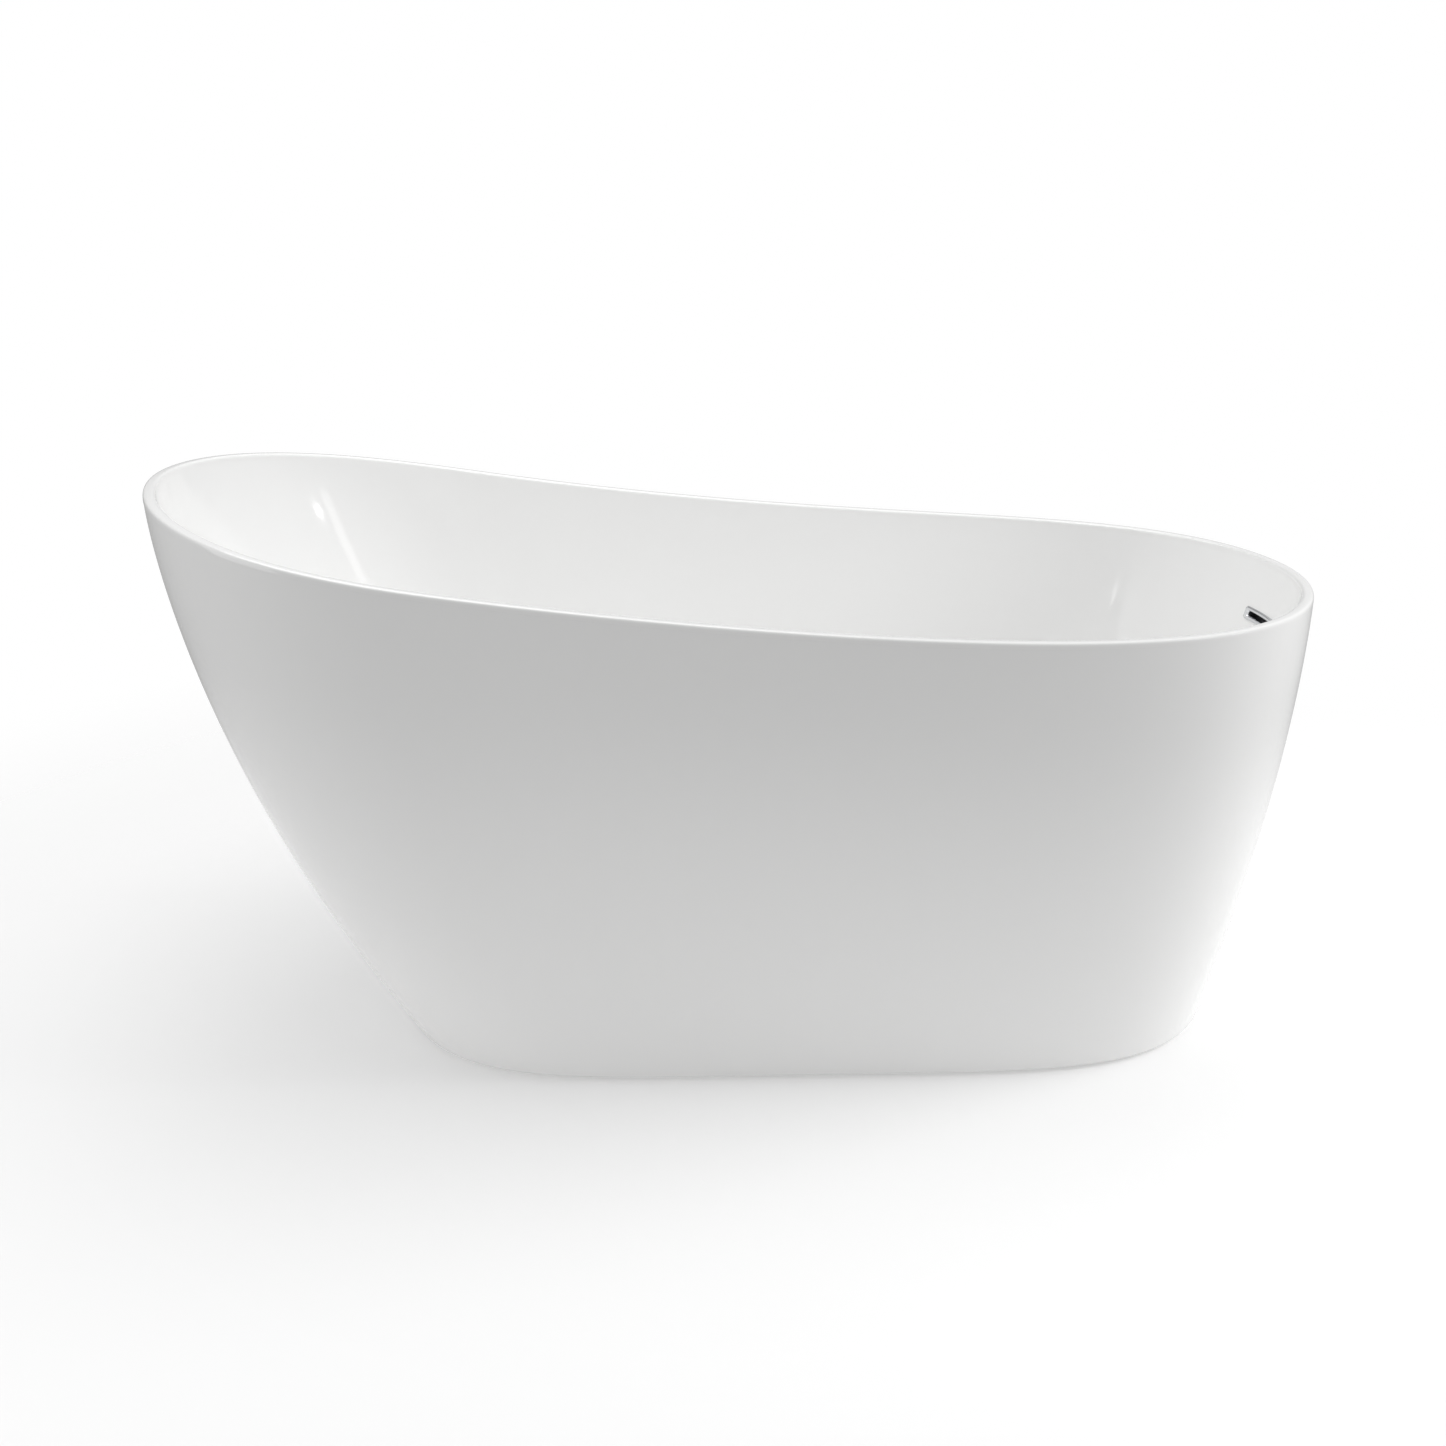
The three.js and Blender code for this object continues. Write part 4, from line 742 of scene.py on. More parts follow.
def brass():
    """Turned brass, a little tarnished in patches."""
    finish = Finish("turned_brass", Metallic=1.0)
    patches = finish.noise(50.0, 4.0, 0.65)
    tone = colours().brass
    dull = (tone[0] * 0.78, tone[1] * 0.70, tone[2] * 0.62)
    finish.feed("Base Color", finish.mix(patches, dull, tone))
    finish.feed("Roughness", 0.22 + patches * 0.2)
    finish.bump(finish.noise(900.0, 2.0, 0.5, finish.scaled(0.2, 0.2, 3.0)), 0.00003)
    return finish.material


FINISH_MAKERS = {
    "acrylic": acrylic,
    "chrome": chrome,
    "galvanised_steel": galvanised,
    "zinc_steel": zinc,
    "plywood": plywood,
    "brass": brass,
}
MOULDED_FINISHES = {  # material name, colour, roughness and height of the grain
    "rubber": ("black_rubber", "rubber", 0.62, 0.00008),
    "black_plastic": ("black_plastic", "black", 0.46, 0.00006),
    "white_plastic": ("white_plastic", "white", 0.36, 0.00003),
    "hose_plastic": ("hose_plastic", "hose", 0.42, 0.00003),
}
_made_finishes = {}


def look_of(node):
    """The material of a node's slot, made the first time that it is asked for."""
    slot = SLOTS[node]
    if slot not in _made_finishes:
        moulding = MOULDED_FINISHES.get(slot)
        _made_finishes[slot] = moulded(*moulding) if moulding else FINISH_MAKERS[slot]()
    return _made_finishes[slot]


def paint(piece, name, values):
    """Stores one number for each vertex as a mesh attribute."""
    attribute = piece.data.attributes.new(name, "FLOAT", "POINT")
    attribute.data.foreach_set("value", np.ascontiguousarray(values, np.float32))


def places_of(piece):
    """The piece's vertices as an array."""
    flat = np.zeros(len(piece.data.vertices) * 3, np.float32)
    piece.data.vertices.foreach_get("co", flat)
    return flat.reshape(-1, 3)


# ------------------------------------------------------------------ the basin and the skirt

COLUMNS = 320  # points round each shell
WALL_ROWS = 76  # rows down the wet wall
HOLE_SPARE = 0.0048  # the wall's hole past the overflow's opening, for the trim's collar
HOLE_SHARE = 0.2  # share down the wall at which the hole's columns are found
RIM_POWER = 0.55  # below 1 the rolled rim is squarer than a half circle
SPINE = (-0.25, 0.45)  # ends of the line along the tub that the wet side faces
DISH_FLAT = 0.034  # radius of the ring in the middle of the dish's flat
SKIRT_EDGE = 0.0025  # radius of the skirt's bottom edge
FLANGE_FILLET = 0.006  # radius between the flange and the skirt's inside


def nearest(values, wanted):
    """The index of the value nearest to a wanted one."""
    return int(np.abs(values - wanted).argmin())


def snapped(values, wanted):
    """The values with the nearest one to each wanted value moved onto it."""
    values = values.copy()
    for value in wanted:
        values[nearest(values, value)] = value
    return values


class MakeBasin(bpy.types.Operator):
    """Makes the basin: a closed shell of rim, wet wall, floor, drain dish and back, with a hole for
    the overflow"""

    bl_idname = "bath.make_basin"
    bl_label = "Basin"

    def execute(self, context):
        shells, sizes, parts = Shells(), shell(), fitting()
        half_wide = (parts.slot_length + HOLE_SPARE) / 2
        half_tall = (parts.slot_height + HOLE_SPARE) / 2
        shares = self.shares(shells, half_tall)
        angles = self.angles(shells, half_wide)
        rings = self.rings(shells, sizes, parts, shares, angles)
        points = np.concatenate(rings["points"])
        faces = self.holed(shells, points, rings, shares, angles, half_wide, half_tall)
        piece = stand_for("basin", Skin().grid(points, faces=faces), 30.0)
        self.paint_backing(piece, shells)
        return {"FINISHED"}

    def shares(self, shells, half_tall):
        """Shares down the wall, crowded to the rim and floor, with rows on the hole's edges."""
        even = np.linspace(0, 1, WALL_ROWS + 1)
        shares = even - 0.06 * np.sin(TURN * even)
        fine = np.linspace(0, 1, 4000)
        heights = shells.wall_point(np.zeros(1), fine[:, None])[:, 0, 2]
        edges = np.interp([-(TRIM_LEVEL + half_tall), -(TRIM_LEVEL - half_tall)], -heights, fine)
        return snapped(shares, edges)

    def angles(self, shells, half_wide):
        """Columns evenly round the rim, with a pair on the hole's ends."""
        angles = shells.columns(COLUMNS)
        fine = np.linspace(0, 0.8, 2000)
        share = np.full_like(fine, HOLE_SHARE)
        sideways = np.interp(half_wide, shells.wall_point(fine, share)[:, 1], fine)
        return snapped(angles, [sideways, -sideways])

    def rings(self, shells, sizes, parts, shares, angles):
        """Every ring of the shell in order, with the first rows of the wall and of its back."""
        rim = sizes.rim_width
        turn = np.linspace(0, math.pi, 25)[:, None]
        angle = angles[None]
        lip_edge = shells.rim_point(angle, np.zeros((1, 1)), sizes.lip_drop)
        inset = rim / 2 * (1 - power(np.cos(turn), RIM_POWER)) + 0 * angle
        drop = rim / 2 * (1 - power(np.sin(turn), RIM_POWER))
        lip = shells.rim_point(angle + 0 * turn, inset, drop)
        share = shares[:, None] + 0 * angle
        wall = shells.wall_point(angle + 0 * share, share)[1:]
        back_share = np.clip(share, 0.012, 1)
        back = shells.back_point(angle + 0 * share, back_share)[1:][::-1]
        floor = self.floor_rings(shells, parts, wall[-1:], angles)
        under = self.ring_at(shells, parts.hole + 0.0004, shells.underside, angles)
        under_edge = self.ring_at(shells, parts.hole, shells.underside + 0.0006, angles)
        inner_lip = shells.rim_point(angle, np.full((1, 1), rim - sizes.wall), sizes.lip_drop)
        points = [lip_edge, lip, wall, floor, under_edge, under, back, inner_lip]
        starts = np.cumsum([0] + [len(part) for part in points])
        return {"points": points, "wall": starts[2], "back": starts[6]}

    def ring_at(self, shells, radius, level, angles):
        """A ring round the drain, each point in line with the floor's edge seen from the drain."""
        edge = shells.floor.at(angles)
        turn = np.arctan2(edge[:, 1], edge[:, 0] - DRAIN[0])
        ring = [DRAIN[0] + radius * np.cos(turn), radius * np.sin(turn), np.full(len(turn), level)]
        return np.stack(ring, -1)[None]

    def floor_rings(self, shells, parts, edge, angles):
        """The floor from its edge to the dish by even shares, the dish's side as half a cosine,
        then its flat and the hole's eased edge."""
        brink = parts.dish + 2 * parts.dish_depth
        level = shells.floor_level(DRAIN[0])
        share = np.linspace(0, 1, 22)[1:, None, None]
        ring = self.ring_at(shells, brink, level, angles)
        rows = [edge * (1 - share) + ring * share]
        for step in np.linspace(0, 1, 9)[1:]:
            radius = brink + (parts.dish - brink) * step
            drop = parts.dish_depth * (0.5 - 0.5 * math.cos(math.pi * step))
            rows.append(self.ring_at(shells, radius, level - drop, angles))
        dish = level - parts.dish_depth
        share_of_hole = parts.hole / 0.024
        for radius, drop in ((DISH_FLAT, 0.0), (0.0246, 0.0), (0.02415, 0.0002), (0.024, 0.0006)):
            rows.append(self.ring_at(shells, radius * share_of_hole, dish - drop, angles))
        return np.concatenate(rows)

    def holed(self, shells, points, rings, shares, angles, half_wide, half_tall):
        """The shell's faces less those across the overflow's hole in the wall and in its back,
        plus four strips that join the two round the hole."""
        rows, columns = len(points), len(angles)
        heights = shells.wall_point(np.zeros(1), shares[:, None])[:, 0, 2]
        first = nearest(heights, TRIM_LEVEL + half_tall)
        last = nearest(heights, TRIM_LEVEL - half_tall)
        side = shells.wall_point(angles, np.full(columns, HOLE_SHARE))[:, 1] * (np.abs(angles) < 1)
        left, right = nearest(side, -half_wide), nearest(side, half_wide)

        def front(row):
            return rings["wall"] + row - 1

        def rear(row):
            return rings["back"] + (len(shares) - 1) - row

        def at(row, column):
            return row * columns + column

        faces = quads_of(rows, columns, wrap_rows=True)
        row, column = faces[:, 0] // columns, faces[:, 0] % columns
        within = (column >= left) & (column < right)
        in_front = within & (row >= front(first)) & (row < front(last))
        in_rear = within & (row >= rear(last)) & (row < rear(first))
        faces = faces[~(in_front | in_rear)]
        along = np.arange(left, right)
        strips = []
        for wall_row in (first, last):
            near, far = front(wall_row), rear(wall_row)
            strips.append([at(near, along), at(near, along + 1), at(far, along + 1), at(far, along)])
        down = np.arange(first, last)
        for place in (left, right):
            strips.append([at(front(down), place), at(front(down + 1), place),
                           at(rear(down + 1), place), at(rear(down), place)])
        return np.concatenate([faces, *(np.stack(strip, -1) for strip in strips)])

    def paint_backing(self, piece, shells):
        """Backing where the surface faces away from the water and below the lip."""
        normals = np.zeros(len(piece.data.vertices) * 3, np.float32)
        piece.data.vertex_normals.foreach_get("vector", normals)
        normals = normals.reshape(-1, 3)
        places = places_of(piece)
        outward = np.stack([places[:, 0] - np.clip(places[:, 0], *SPINE), places[:, 1]], -1)
        outward /= np.linalg.norm(outward, axis=1, keepdims=True) + 1e-9
        away = (normals[:, :2] * outward).sum(1) - normals[:, 2] * 0.8
        rim = shells.rim_height(places[:, 0])
        below = places[:, 2] < rim - shells.sizes.lip_drop - 0.0005
        paint(piece, "backing", ((away > 0) & below).astype(float))


class MakeSkirt(bpy.types.Operator):
    """Makes the outer skirt: ribs from the base's outline to the rim's, a rounded bottom edge, a
    flange and the inside face"""

    bl_idname = "bath.make_skirt"
    bl_label = "Outer skirt"

    def execute(self, context):
        shells, sizes = Shells(), shell()
        angle = shells.columns(COLUMNS)[None]
        rim = shells.rim_height(shells.rim.at(angle)[..., 0])
        top = rim - sizes.lip_drop - GAP / 6
        low, edge = sizes.clearance, SKIRT_EDGE
        share = np.linspace(1, 0, 91)[:, None]
        level = low + edge + (top - low - edge) * share
        outer = shells.skirt_point(angle + 0 * share, level)
        turn = np.linspace(0, math.pi / 2, 7)[1:, None]
        round_level = low + edge * (1 - np.sin(turn)) + 0 * angle
        round_inset = edge * (1 - np.cos(turn)) + 0 * angle
        round_edge = shells.skirt_inner(angle + 0 * turn, round_level, round_inset)
        flange = self.flange(shells, sizes, angle)
        share = np.linspace(0, 1, 61)[:, None]
        inner_low = low + sizes.wall + FLANGE_FILLET
        level = inner_low + (top - inner_low) * share
        inset = np.full_like(level, sizes.wall)
        inner = shells.skirt_inner(angle + 0 * share, level, inset)
        points = np.concatenate([outer, round_edge, flange, inner])
        piece = stand_for("outer_skirt", Skin().closed(points), 40.0)
        backing = np.zeros(points.shape[:2])
        backing[len(outer) + len(round_edge) + 1:] = 1
        paint(piece, "backing", backing.ravel())
        return {"FINISHED"}

    def flange(self, shells, sizes, angle):
        """The flange's section as insets and levels: underside, eased inner edge, top, and a
        fillet up to the inside face."""
        low, reach = sizes.clearance, sizes.wall + sizes.flange_width
        top, fillet = low + sizes.wall, FLANGE_FILLET
        turn = np.linspace(0, math.pi / 2, 6)[:-1]
        inset, rise = sizes.wall + fillet * (1 - np.sin(turn)), top + fillet * (1 - np.cos(turn))
        section = np.array([
            (0.012, low), (reach - 0.001, low), (reach - 0.0003, low + 0.0003), (reach, low + 0.001),
            (reach, top - 0.001), (reach - 0.001, top), *zip(inset, rise),
        ])
        inset, level = section[:, :1] + 0 * angle, section[:, 1:] + 0 * angle
        return shells.skirt_inner(angle + 0 * section[:, :1], level, inset)


# ------------------------------------------------------------------ the overflow

TRIM_THICKNESS = 0.0025  # of the trim ring, on the water's side of the wall
SEAL_THICKNESS = 0.0015  # of the overflow's gasket
TRAY_MARGIN = 0.003  # gasket and tray past the trim
TRAY_DEPTH = 0.0085
TRAY_WALL = 0.0016
TRAY_CORNER = 0.008
DUCT_HALF_WIDTH = 0.028
SPIGOT_LENGTH = 0.026
SPIGOT_WALL = 0.002


def loop(half_long, half_tall, corner, count=10, between=14):
    """A rounded rectangle as one closed loop of sideways and upright places: four quarter circles
    of the corner's radius and the sides between them, with as many points for every size."""
    turn = np.linspace(0, TURN / 4, count)
    quarters = []
    for quarter, (side, up) in enumerate([(1, 1), (-1, 1), (-1, -1), (1, -1)]):
        angle = turn + quarter * TURN / 4
        middle_of = np.array([side * (half_long - corner), up * (half_tall - corner)])
        quarters.append(middle_of + corner * np.stack([np.cos(angle), np.sin(angle)], -1))
    share = np.linspace(0, 1, between + 2)[1:-1, None]
    parts = []
    for here, after in zip(quarters, quarters[1:] + quarters[:1]):
        parts += [here, here[-1] * (1 - share) + after[0] * share]
    return np.concatenate(parts)


def on_wall(surface, rings):
    """Rings on the wall: each is a half length, a half height, a corner radius and a distance out
    of the water along the wall's normal."""
    rows = []
    for half_long, half_tall, corner, out in rings:
        places = loop(half_long, half_tall, corner)
        points, normals = surface(places[:, 0], TRIM_LEVEL + places[:, 1])
        rows.append(points + normals * out)
    return np.stack(rows)


class MakeOverflow(bpy.types.Operator):
    """Makes the overflow's chromed trim ring, its gasket and the body behind the wall"""

    bl_idname = "bath.make_overflow"
    bl_label = "Overflow"

    def execute(self, context):
        shells, parts = Shells(), fitting()
        surface = shells.wall_fit()
        half_long, half_tall = parts.slot_length / 2, parts.slot_height / 2
        self.trim(surface, half_long, half_tall)
        outer_long = (TRIM_HIGH[1] - TRIM_LOW[1]) / 2 + TRAY_MARGIN
        outer_tall = parts.trim_height / 2 + TRAY_MARGIN
        bore_long, bore_tall = half_long + 0.0019, half_tall + 0.0019
        near = shells.sizes.wall + GAP
        far = near + SEAL_THICKNESS
        gasket = [
            (outer_long, outer_tall, TRAY_CORNER, near),
            (outer_long + 0.0002, outer_tall + 0.0002, TRAY_CORNER, near + SEAL_THICKNESS / 2),
            (outer_long, outer_tall, TRAY_CORNER, far),
            (bore_long, bore_tall, 0.002, far),
            (bore_long, bore_tall, 0.002, near),
        ]
        stand_for("overflow_gasket", Skin().closed(on_wall(surface, gasket)))
        self.body(shells, surface, outer_long, outer_tall, far + GAP)
        return {"FINISHED"}

    def trim(self, surface, half_long, half_tall):
        """A rounded outer edge, a gently domed band, a bright bevel and a collar in the hole."""
        long, tall = fitting().trim_length / 2, fitting().trim_height / 2
        thick, ease = TRIM_THICKNESS, 0.0012
        edge = []
        for turn in np.linspace(0, math.pi / 2, 6):
            inset = ease * (1 - math.cos(turn))
            out = -GAP - (thick - ease) * 0.55 - 0.0010 * math.sin(turn)
            edge.append((long - inset, tall - inset, 0.0048 - 0.0006 * math.sin(turn), out))
        band = [
            (long - 0.0022, tall - 0.0022, 0.0036, -GAP - thick * 0.98),
            (long - 0.0034, tall - 0.0034, 0.0030, -GAP - thick),
            (half_long + 0.0020, half_tall + 0.0016, 0.0024, -GAP - thick * 0.96),
            (half_long + 0.0015, half_tall + 0.0011, 0.0022, -GAP - thick * 0.88),
        ]
        bevel = [
            (half_long + 0.0002, half_tall + 0.0002, 0.0020, -GAP - thick * 0.25),
            (half_long, half_tall, 0.0019, -GAP),
            (half_long, half_tall, 0.0019, 0.0094),
        ]
        collar = [
            (half_long + 0.0016, half_tall + 0.0016, 0.0022, 0.0095),
            (half_long + 0.0016, half_tall + 0.0016, 0.0022, -GAP),
        ]
        foot = [(long - 0.0004, tall - 0.0004, 0.0046, -GAP), (long, tall, 0.0048, -GAP - 0.0004)]
        rings = on_wall(surface, foot + edge + band + bevel + collar)
        stand_for("overflow_trim", Skin().closed(rings), 32.0)

    def body(self, shells, surface, outer_long, outer_tall, near):
        """An open tray behind the slot, with a duct down the gap and a spigot for the hose."""
        far = near + TRAY_DEPTH
        tray = [
            (outer_long, outer_tall, TRAY_CORNER, near),
            (outer_long, outer_tall, TRAY_CORNER, far - 0.001),
            (outer_long - 0.001, outer_tall - 0.001, TRAY_CORNER, far),
            (0.003, 0.001, 0.0009, far),
            (0.003, 0.001, 0.0009, far - TRAY_WALL),
            (outer_long - 0.0036, outer_tall - 0.0036, 0.005, far - TRAY_WALL),
            (outer_long - 0.0032, outer_tall - 0.0032, 0.005, near),
        ]
        skin = Skin().closed(on_wall(surface, tray))
        spigot_low = corners("overflow_body")[0][2]
        spigot_top = spigot_low + SPIGOT_LENGTH
        levels = np.linspace(TRIM_LEVEL - outer_tall + 0.002, spigot_top, 24)
        wall_x, skirt_x = shells.gap_at(levels)
        section = loop(1.0, 1.0, 0.4)
        rows = []
        for inner, outer, level in zip(wall_x + 0.0014, skirt_x - 0.0026, levels):
            x = (inner + outer) / 2 + (outer - inner) / 2 * section[:, 1]
            rows.append(np.stack([x, DUCT_HALF_WIDTH * section[:, 0], np.full(len(x), level)], -1))
        skin.capped(np.stack(rows))
        radius = spigot_radius()
        profile = [
            (radius, spigot_top + 0.001), (radius, spigot_low + 0.001), (radius - 0.0008, spigot_low),
            (radius - 0.0016, spigot_low), (radius - SPIGOT_WALL, spigot_low + 0.001),
            (radius - SPIGOT_WALL, spigot_top + 0.001),
        ]
        skin.closed(turned(profile, 40, (middle("hose_clamp_2")[0], 0.0)))
        stand_for("overflow_body", skin)


def spigot_radius():
    """Radius of the spigots that the hose is pushed over: the hose's less its wall and a gap."""
    return fitting().hose_radius - 0.002 - 0.00084


# ------------------------------------------------------------------ swept and turned pieces

TUBE_CORNER = 0.0032  # outer radius of the square tube's corners
TUBE_EASE = 0.0003
BODY_WALL = 0.0033  # wall of the drain's threaded body
FLANGE_THICKNESS = 0.003
DRAIN_PITCH = 0.0022  # of the drain's thread
BODY_HOLE = 0.0236  # radius of the holes that the drain's body passes through
SPIDER = (0.012, 0.020)  # the spider's underside and top above the body's lower end
SPIDER_HUB = 0.009
PLUNGER_HOLE = 0.0062
WASTE_RADIUS = 0.028
PIPE_BORE = 0.018
HOSE_WALL = 0.0014
RIB_PITCH = 0.005  # of the hose's ribs
CLAMP_HALF_WIDTH = 0.005


def sweep(path, section, reference, scale=None):
    """A section carried along a path: point + side a + up b, where side is the way along crossed
    with the reference and up is side crossed with the way along."""
    along = unit(np.gradient(path, axis=0))
    side = unit(np.cross(along, np.asarray(reference, float)))
    up = np.cross(side, along)
    scale = np.ones(len(path)) if scale is None else scale
    flat = section[None] * scale[:, None, None]
    return path[:, None] + side[:, None] * flat[..., :1] + up[:, None] * flat[..., 1:]


def circle(radius, count=24):
    """A circle as a section."""
    angle = np.linspace(0, TURN, count, endpoint=False)
    return radius * np.stack([np.cos(angle), np.sin(angle)], -1)


def lathe(node, profile, segments, sharp=38.0, wrapped=False):
    """A profile turned about the drain's axis that stands for a node. Wrapped, its last point is
    joined to its first; otherwise both ends are closed to the axis."""
    skin, points = Skin(), turned(profile, segments, DRAIN[:2])
    return stand_for(node, skin.closed(points) if wrapped else skin.capped(points), sharp)


def ring(node, inner, ease):
    """A flat ring with eased edges that fills a node's box, about the drain's axis."""
    low, high = corners(node)
    outer = high[0] - DRAIN[0]
    profile = eased([(inner, low[2]), (outer, low[2]), (outer, high[2]), (inner, high[2])], ease)
    return lathe(node, profile, 96, wrapped=True)


def block(low, high, ease):
    """A block with rounded upright corners and eased top and bottom edges."""
    low, high = np.asarray(low, float), np.asarray(high, float)
    slight = ease * 0.3
    rows = [(ease, low[2], ease), (slight, low[2] + slight, ease), (0, low[2] + ease, ease)]
    rows += [(0, high[2] - ease, ease), (slight, high[2] - slight, ease), (ease, high[2], ease)]
    return storeys(low, high, rows, 4, 1)


def storeys(low, high, rows, count, between):
    """A stack of rounded rectangles in a box: each row is an inset, a level and a corner radius."""
    centre, half = (low + high) / 2, (high - low) / 2
    stack = []
    for inset, level, corner in rows:
        plan = centre[:2] + loop(half[0] - inset, half[1] - inset, corner, count, between)
        stack.append(np.concatenate([plan, np.full((len(plan), 1), level)], 1))
    return np.stack(stack)


def tube_beam(low, high, wall, lengthwise):
    """A square tube with rounded corners and open ends, along x (0) or y (1)."""
    other = 1 - lengthwise
    half, tall = (high[other] - low[other]) / 2, (high[2] - low[2]) / 2
    start, end = low[lengthwise], high[lengthwise]
    ease = TUBE_EASE
    outer = [(ease, start), (0.0, start + ease), (0.0, end - ease), (ease, end)]
    inner = [(wall - 0.0002, end), (wall, end - ease), (wall, start + ease), (wall - 0.0002, start)]
    rows = []
    for inset, place in outer + inner:
        plan = loop(half - inset, tall - inset, TUBE_CORNER - inset, 7, 3)
        line = np.zeros((len(plan), 3))
        line[:, lengthwise] = place
        line[:, other] = (low[other] + high[other]) / 2 + plan[:, 0]
        line[:, 2] = (low[2] + high[2]) / 2 + plan[:, 1]
        rows.append(line)
    return np.stack(rows)


def cross_headed(radius, tall, shank, length_down, place, level, head_up):
    """A pan-head screw with a cross recess. The recess is its depth times a step in the smaller of
    the two plan distances times a step in the larger."""
    share = np.linspace(1, 0, 20)[:, None]
    angle = np.linspace(0, TURN, 72, endpoint=False)[None]
    x, y = np.abs(radius * share * np.cos(angle)), np.abs(radius * share * np.sin(angle))
    arm = np.clip((radius * 0.2 - np.minimum(x, y)) / (radius * 0.09), 0, 1)
    reach = np.clip((radius * 0.62 - np.maximum(x, y)) / (radius * 0.14), 0, 1)
    crown = tall * (0.45 + 0.55 * np.sqrt(1 - 0.97 * share**3)) - tall * 0.55 * arm * reach
    top = polar(radius * share + 0 * angle, crown)[:-1]
    under = turned([(shank, 0.0), (radius * 0.96, 0.0), (radius, tall * 0.12)], 72)
    thread = threaded(shank, shank * 0.24, shank * 0.62, -length_down, -0.0001, (0.0, 0.0), 72, 6)
    tip = turned([(shank * 0.15, -length_down), (shank * 0.6, -length_down)], 72)
    points = np.concatenate([tip, thread[1:], under, top])
    if not head_up:
        points = upside_down(points, 0.0)
    return points + np.array([*place, level])


class MakeDrain(bpy.types.Operator):
    """Makes the drain's flange with its spider, the seals on both sides of the floor and the nut"""

    bl_idname = "bath.make_drain"
    bl_label = "Drain"

    def execute(self, context):
        place, bore = DRAIN[:2], fitting().bore
        body = bore + BODY_WALL
        low, top = DRAIN_LOW[2], DRAIN_HIGH[2]
        edge = DRAIN_HIGH[0] - DRAIN[0]
        under = top - FLANGE_THICKNESS
        rim = eased([
            (body, under), (edge - 0.0008, under), (edge, under + 0.0009), (edge - 0.0014, top - 0.0004),
            (edge - 0.005, top), (bore + 0.0035, top - 0.0001), (bore + 0.0012, top - 0.0012),
            (bore, top - 0.0028),
        ], 0.0009)[4:]
        inside = [(bore, top - 0.006), (bore, low + 0.0008), (bore + 0.0006, low), (body - 0.0008, low)]
        outside = threaded(
            body + 0.0002, 0.0009, DRAIN_PITCH, low + 0.0005, under - 0.001, place, 96, 7
        )
        parts = [turned(inside, 96, place), outside, turned(rim, 96, place)]
        skin = Skin().closed(np.concatenate(parts))
        self.spider(skin, place, low + SPIDER[0], low + SPIDER[1], bore + 0.0012)
        stand_for("drain_flange", skin, 34.0)
        ring("drain_gasket", BODY_HOLE, 0.0006)
        ring("drain_washer", BODY_HOLE, 0.0006)
        self.lock_nut(place)
        return {"FINISHED"}

    def spider(self, skin, place, low, high, reach):
        """Adds a boss round the plunger's hole and four bars from it to the bore."""
        start, half = 0.0078, 0.002
        for x, y in ((1, 0), (-1, 0), (0, 1), (0, -1)):
            ends = np.sort([[x * start, x * reach], [y * start, y * reach]], axis=1)
            breadth = half * np.array([abs(y), abs(x)])
            lower = [*(place + ends[:, 0] - breadth), low]
            upper = [*(place + ends[:, 1] + breadth), high]
            skin.capped(block(lower, upper, 0.0008))
        boss = [(PLUNGER_HOLE, low), (SPIDER_HUB, low), (SPIDER_HUB, high), (PLUNGER_HOLE, high)]
        skin.closed(turned(eased(boss, 0.0008), 48, place))

    def lock_nut(self, place):
        """An eight-sided nut, its corners cut by cones at both faces."""
        low, high = corners("drain_lock_nut")
        corner, levels = high[0] - place[0], np.linspace(low[2], high[2], 9)[:, None]
        angle = np.linspace(0, TURN, 192, endpoint=False)[None]
        side = corner * math.cos(math.pi / 8) / np.cos(angle % (TURN / 8) - TURN / 16)
        edge = np.minimum(levels - low[2], high[2] - levels)
        outer = polar(np.minimum(side, corner * 0.955 + edge * 1.6), levels, place)
        inner = threaded(
            0.0245, 0.0008, DRAIN_PITCH, low[2] + 0.0002, high[2] - 0.0002, place, 192, 7
        )
        skin = Skin().closed(np.concatenate([outer, inner[::-1]]))
        stand_for("drain_lock_nut", skin, 34.0)


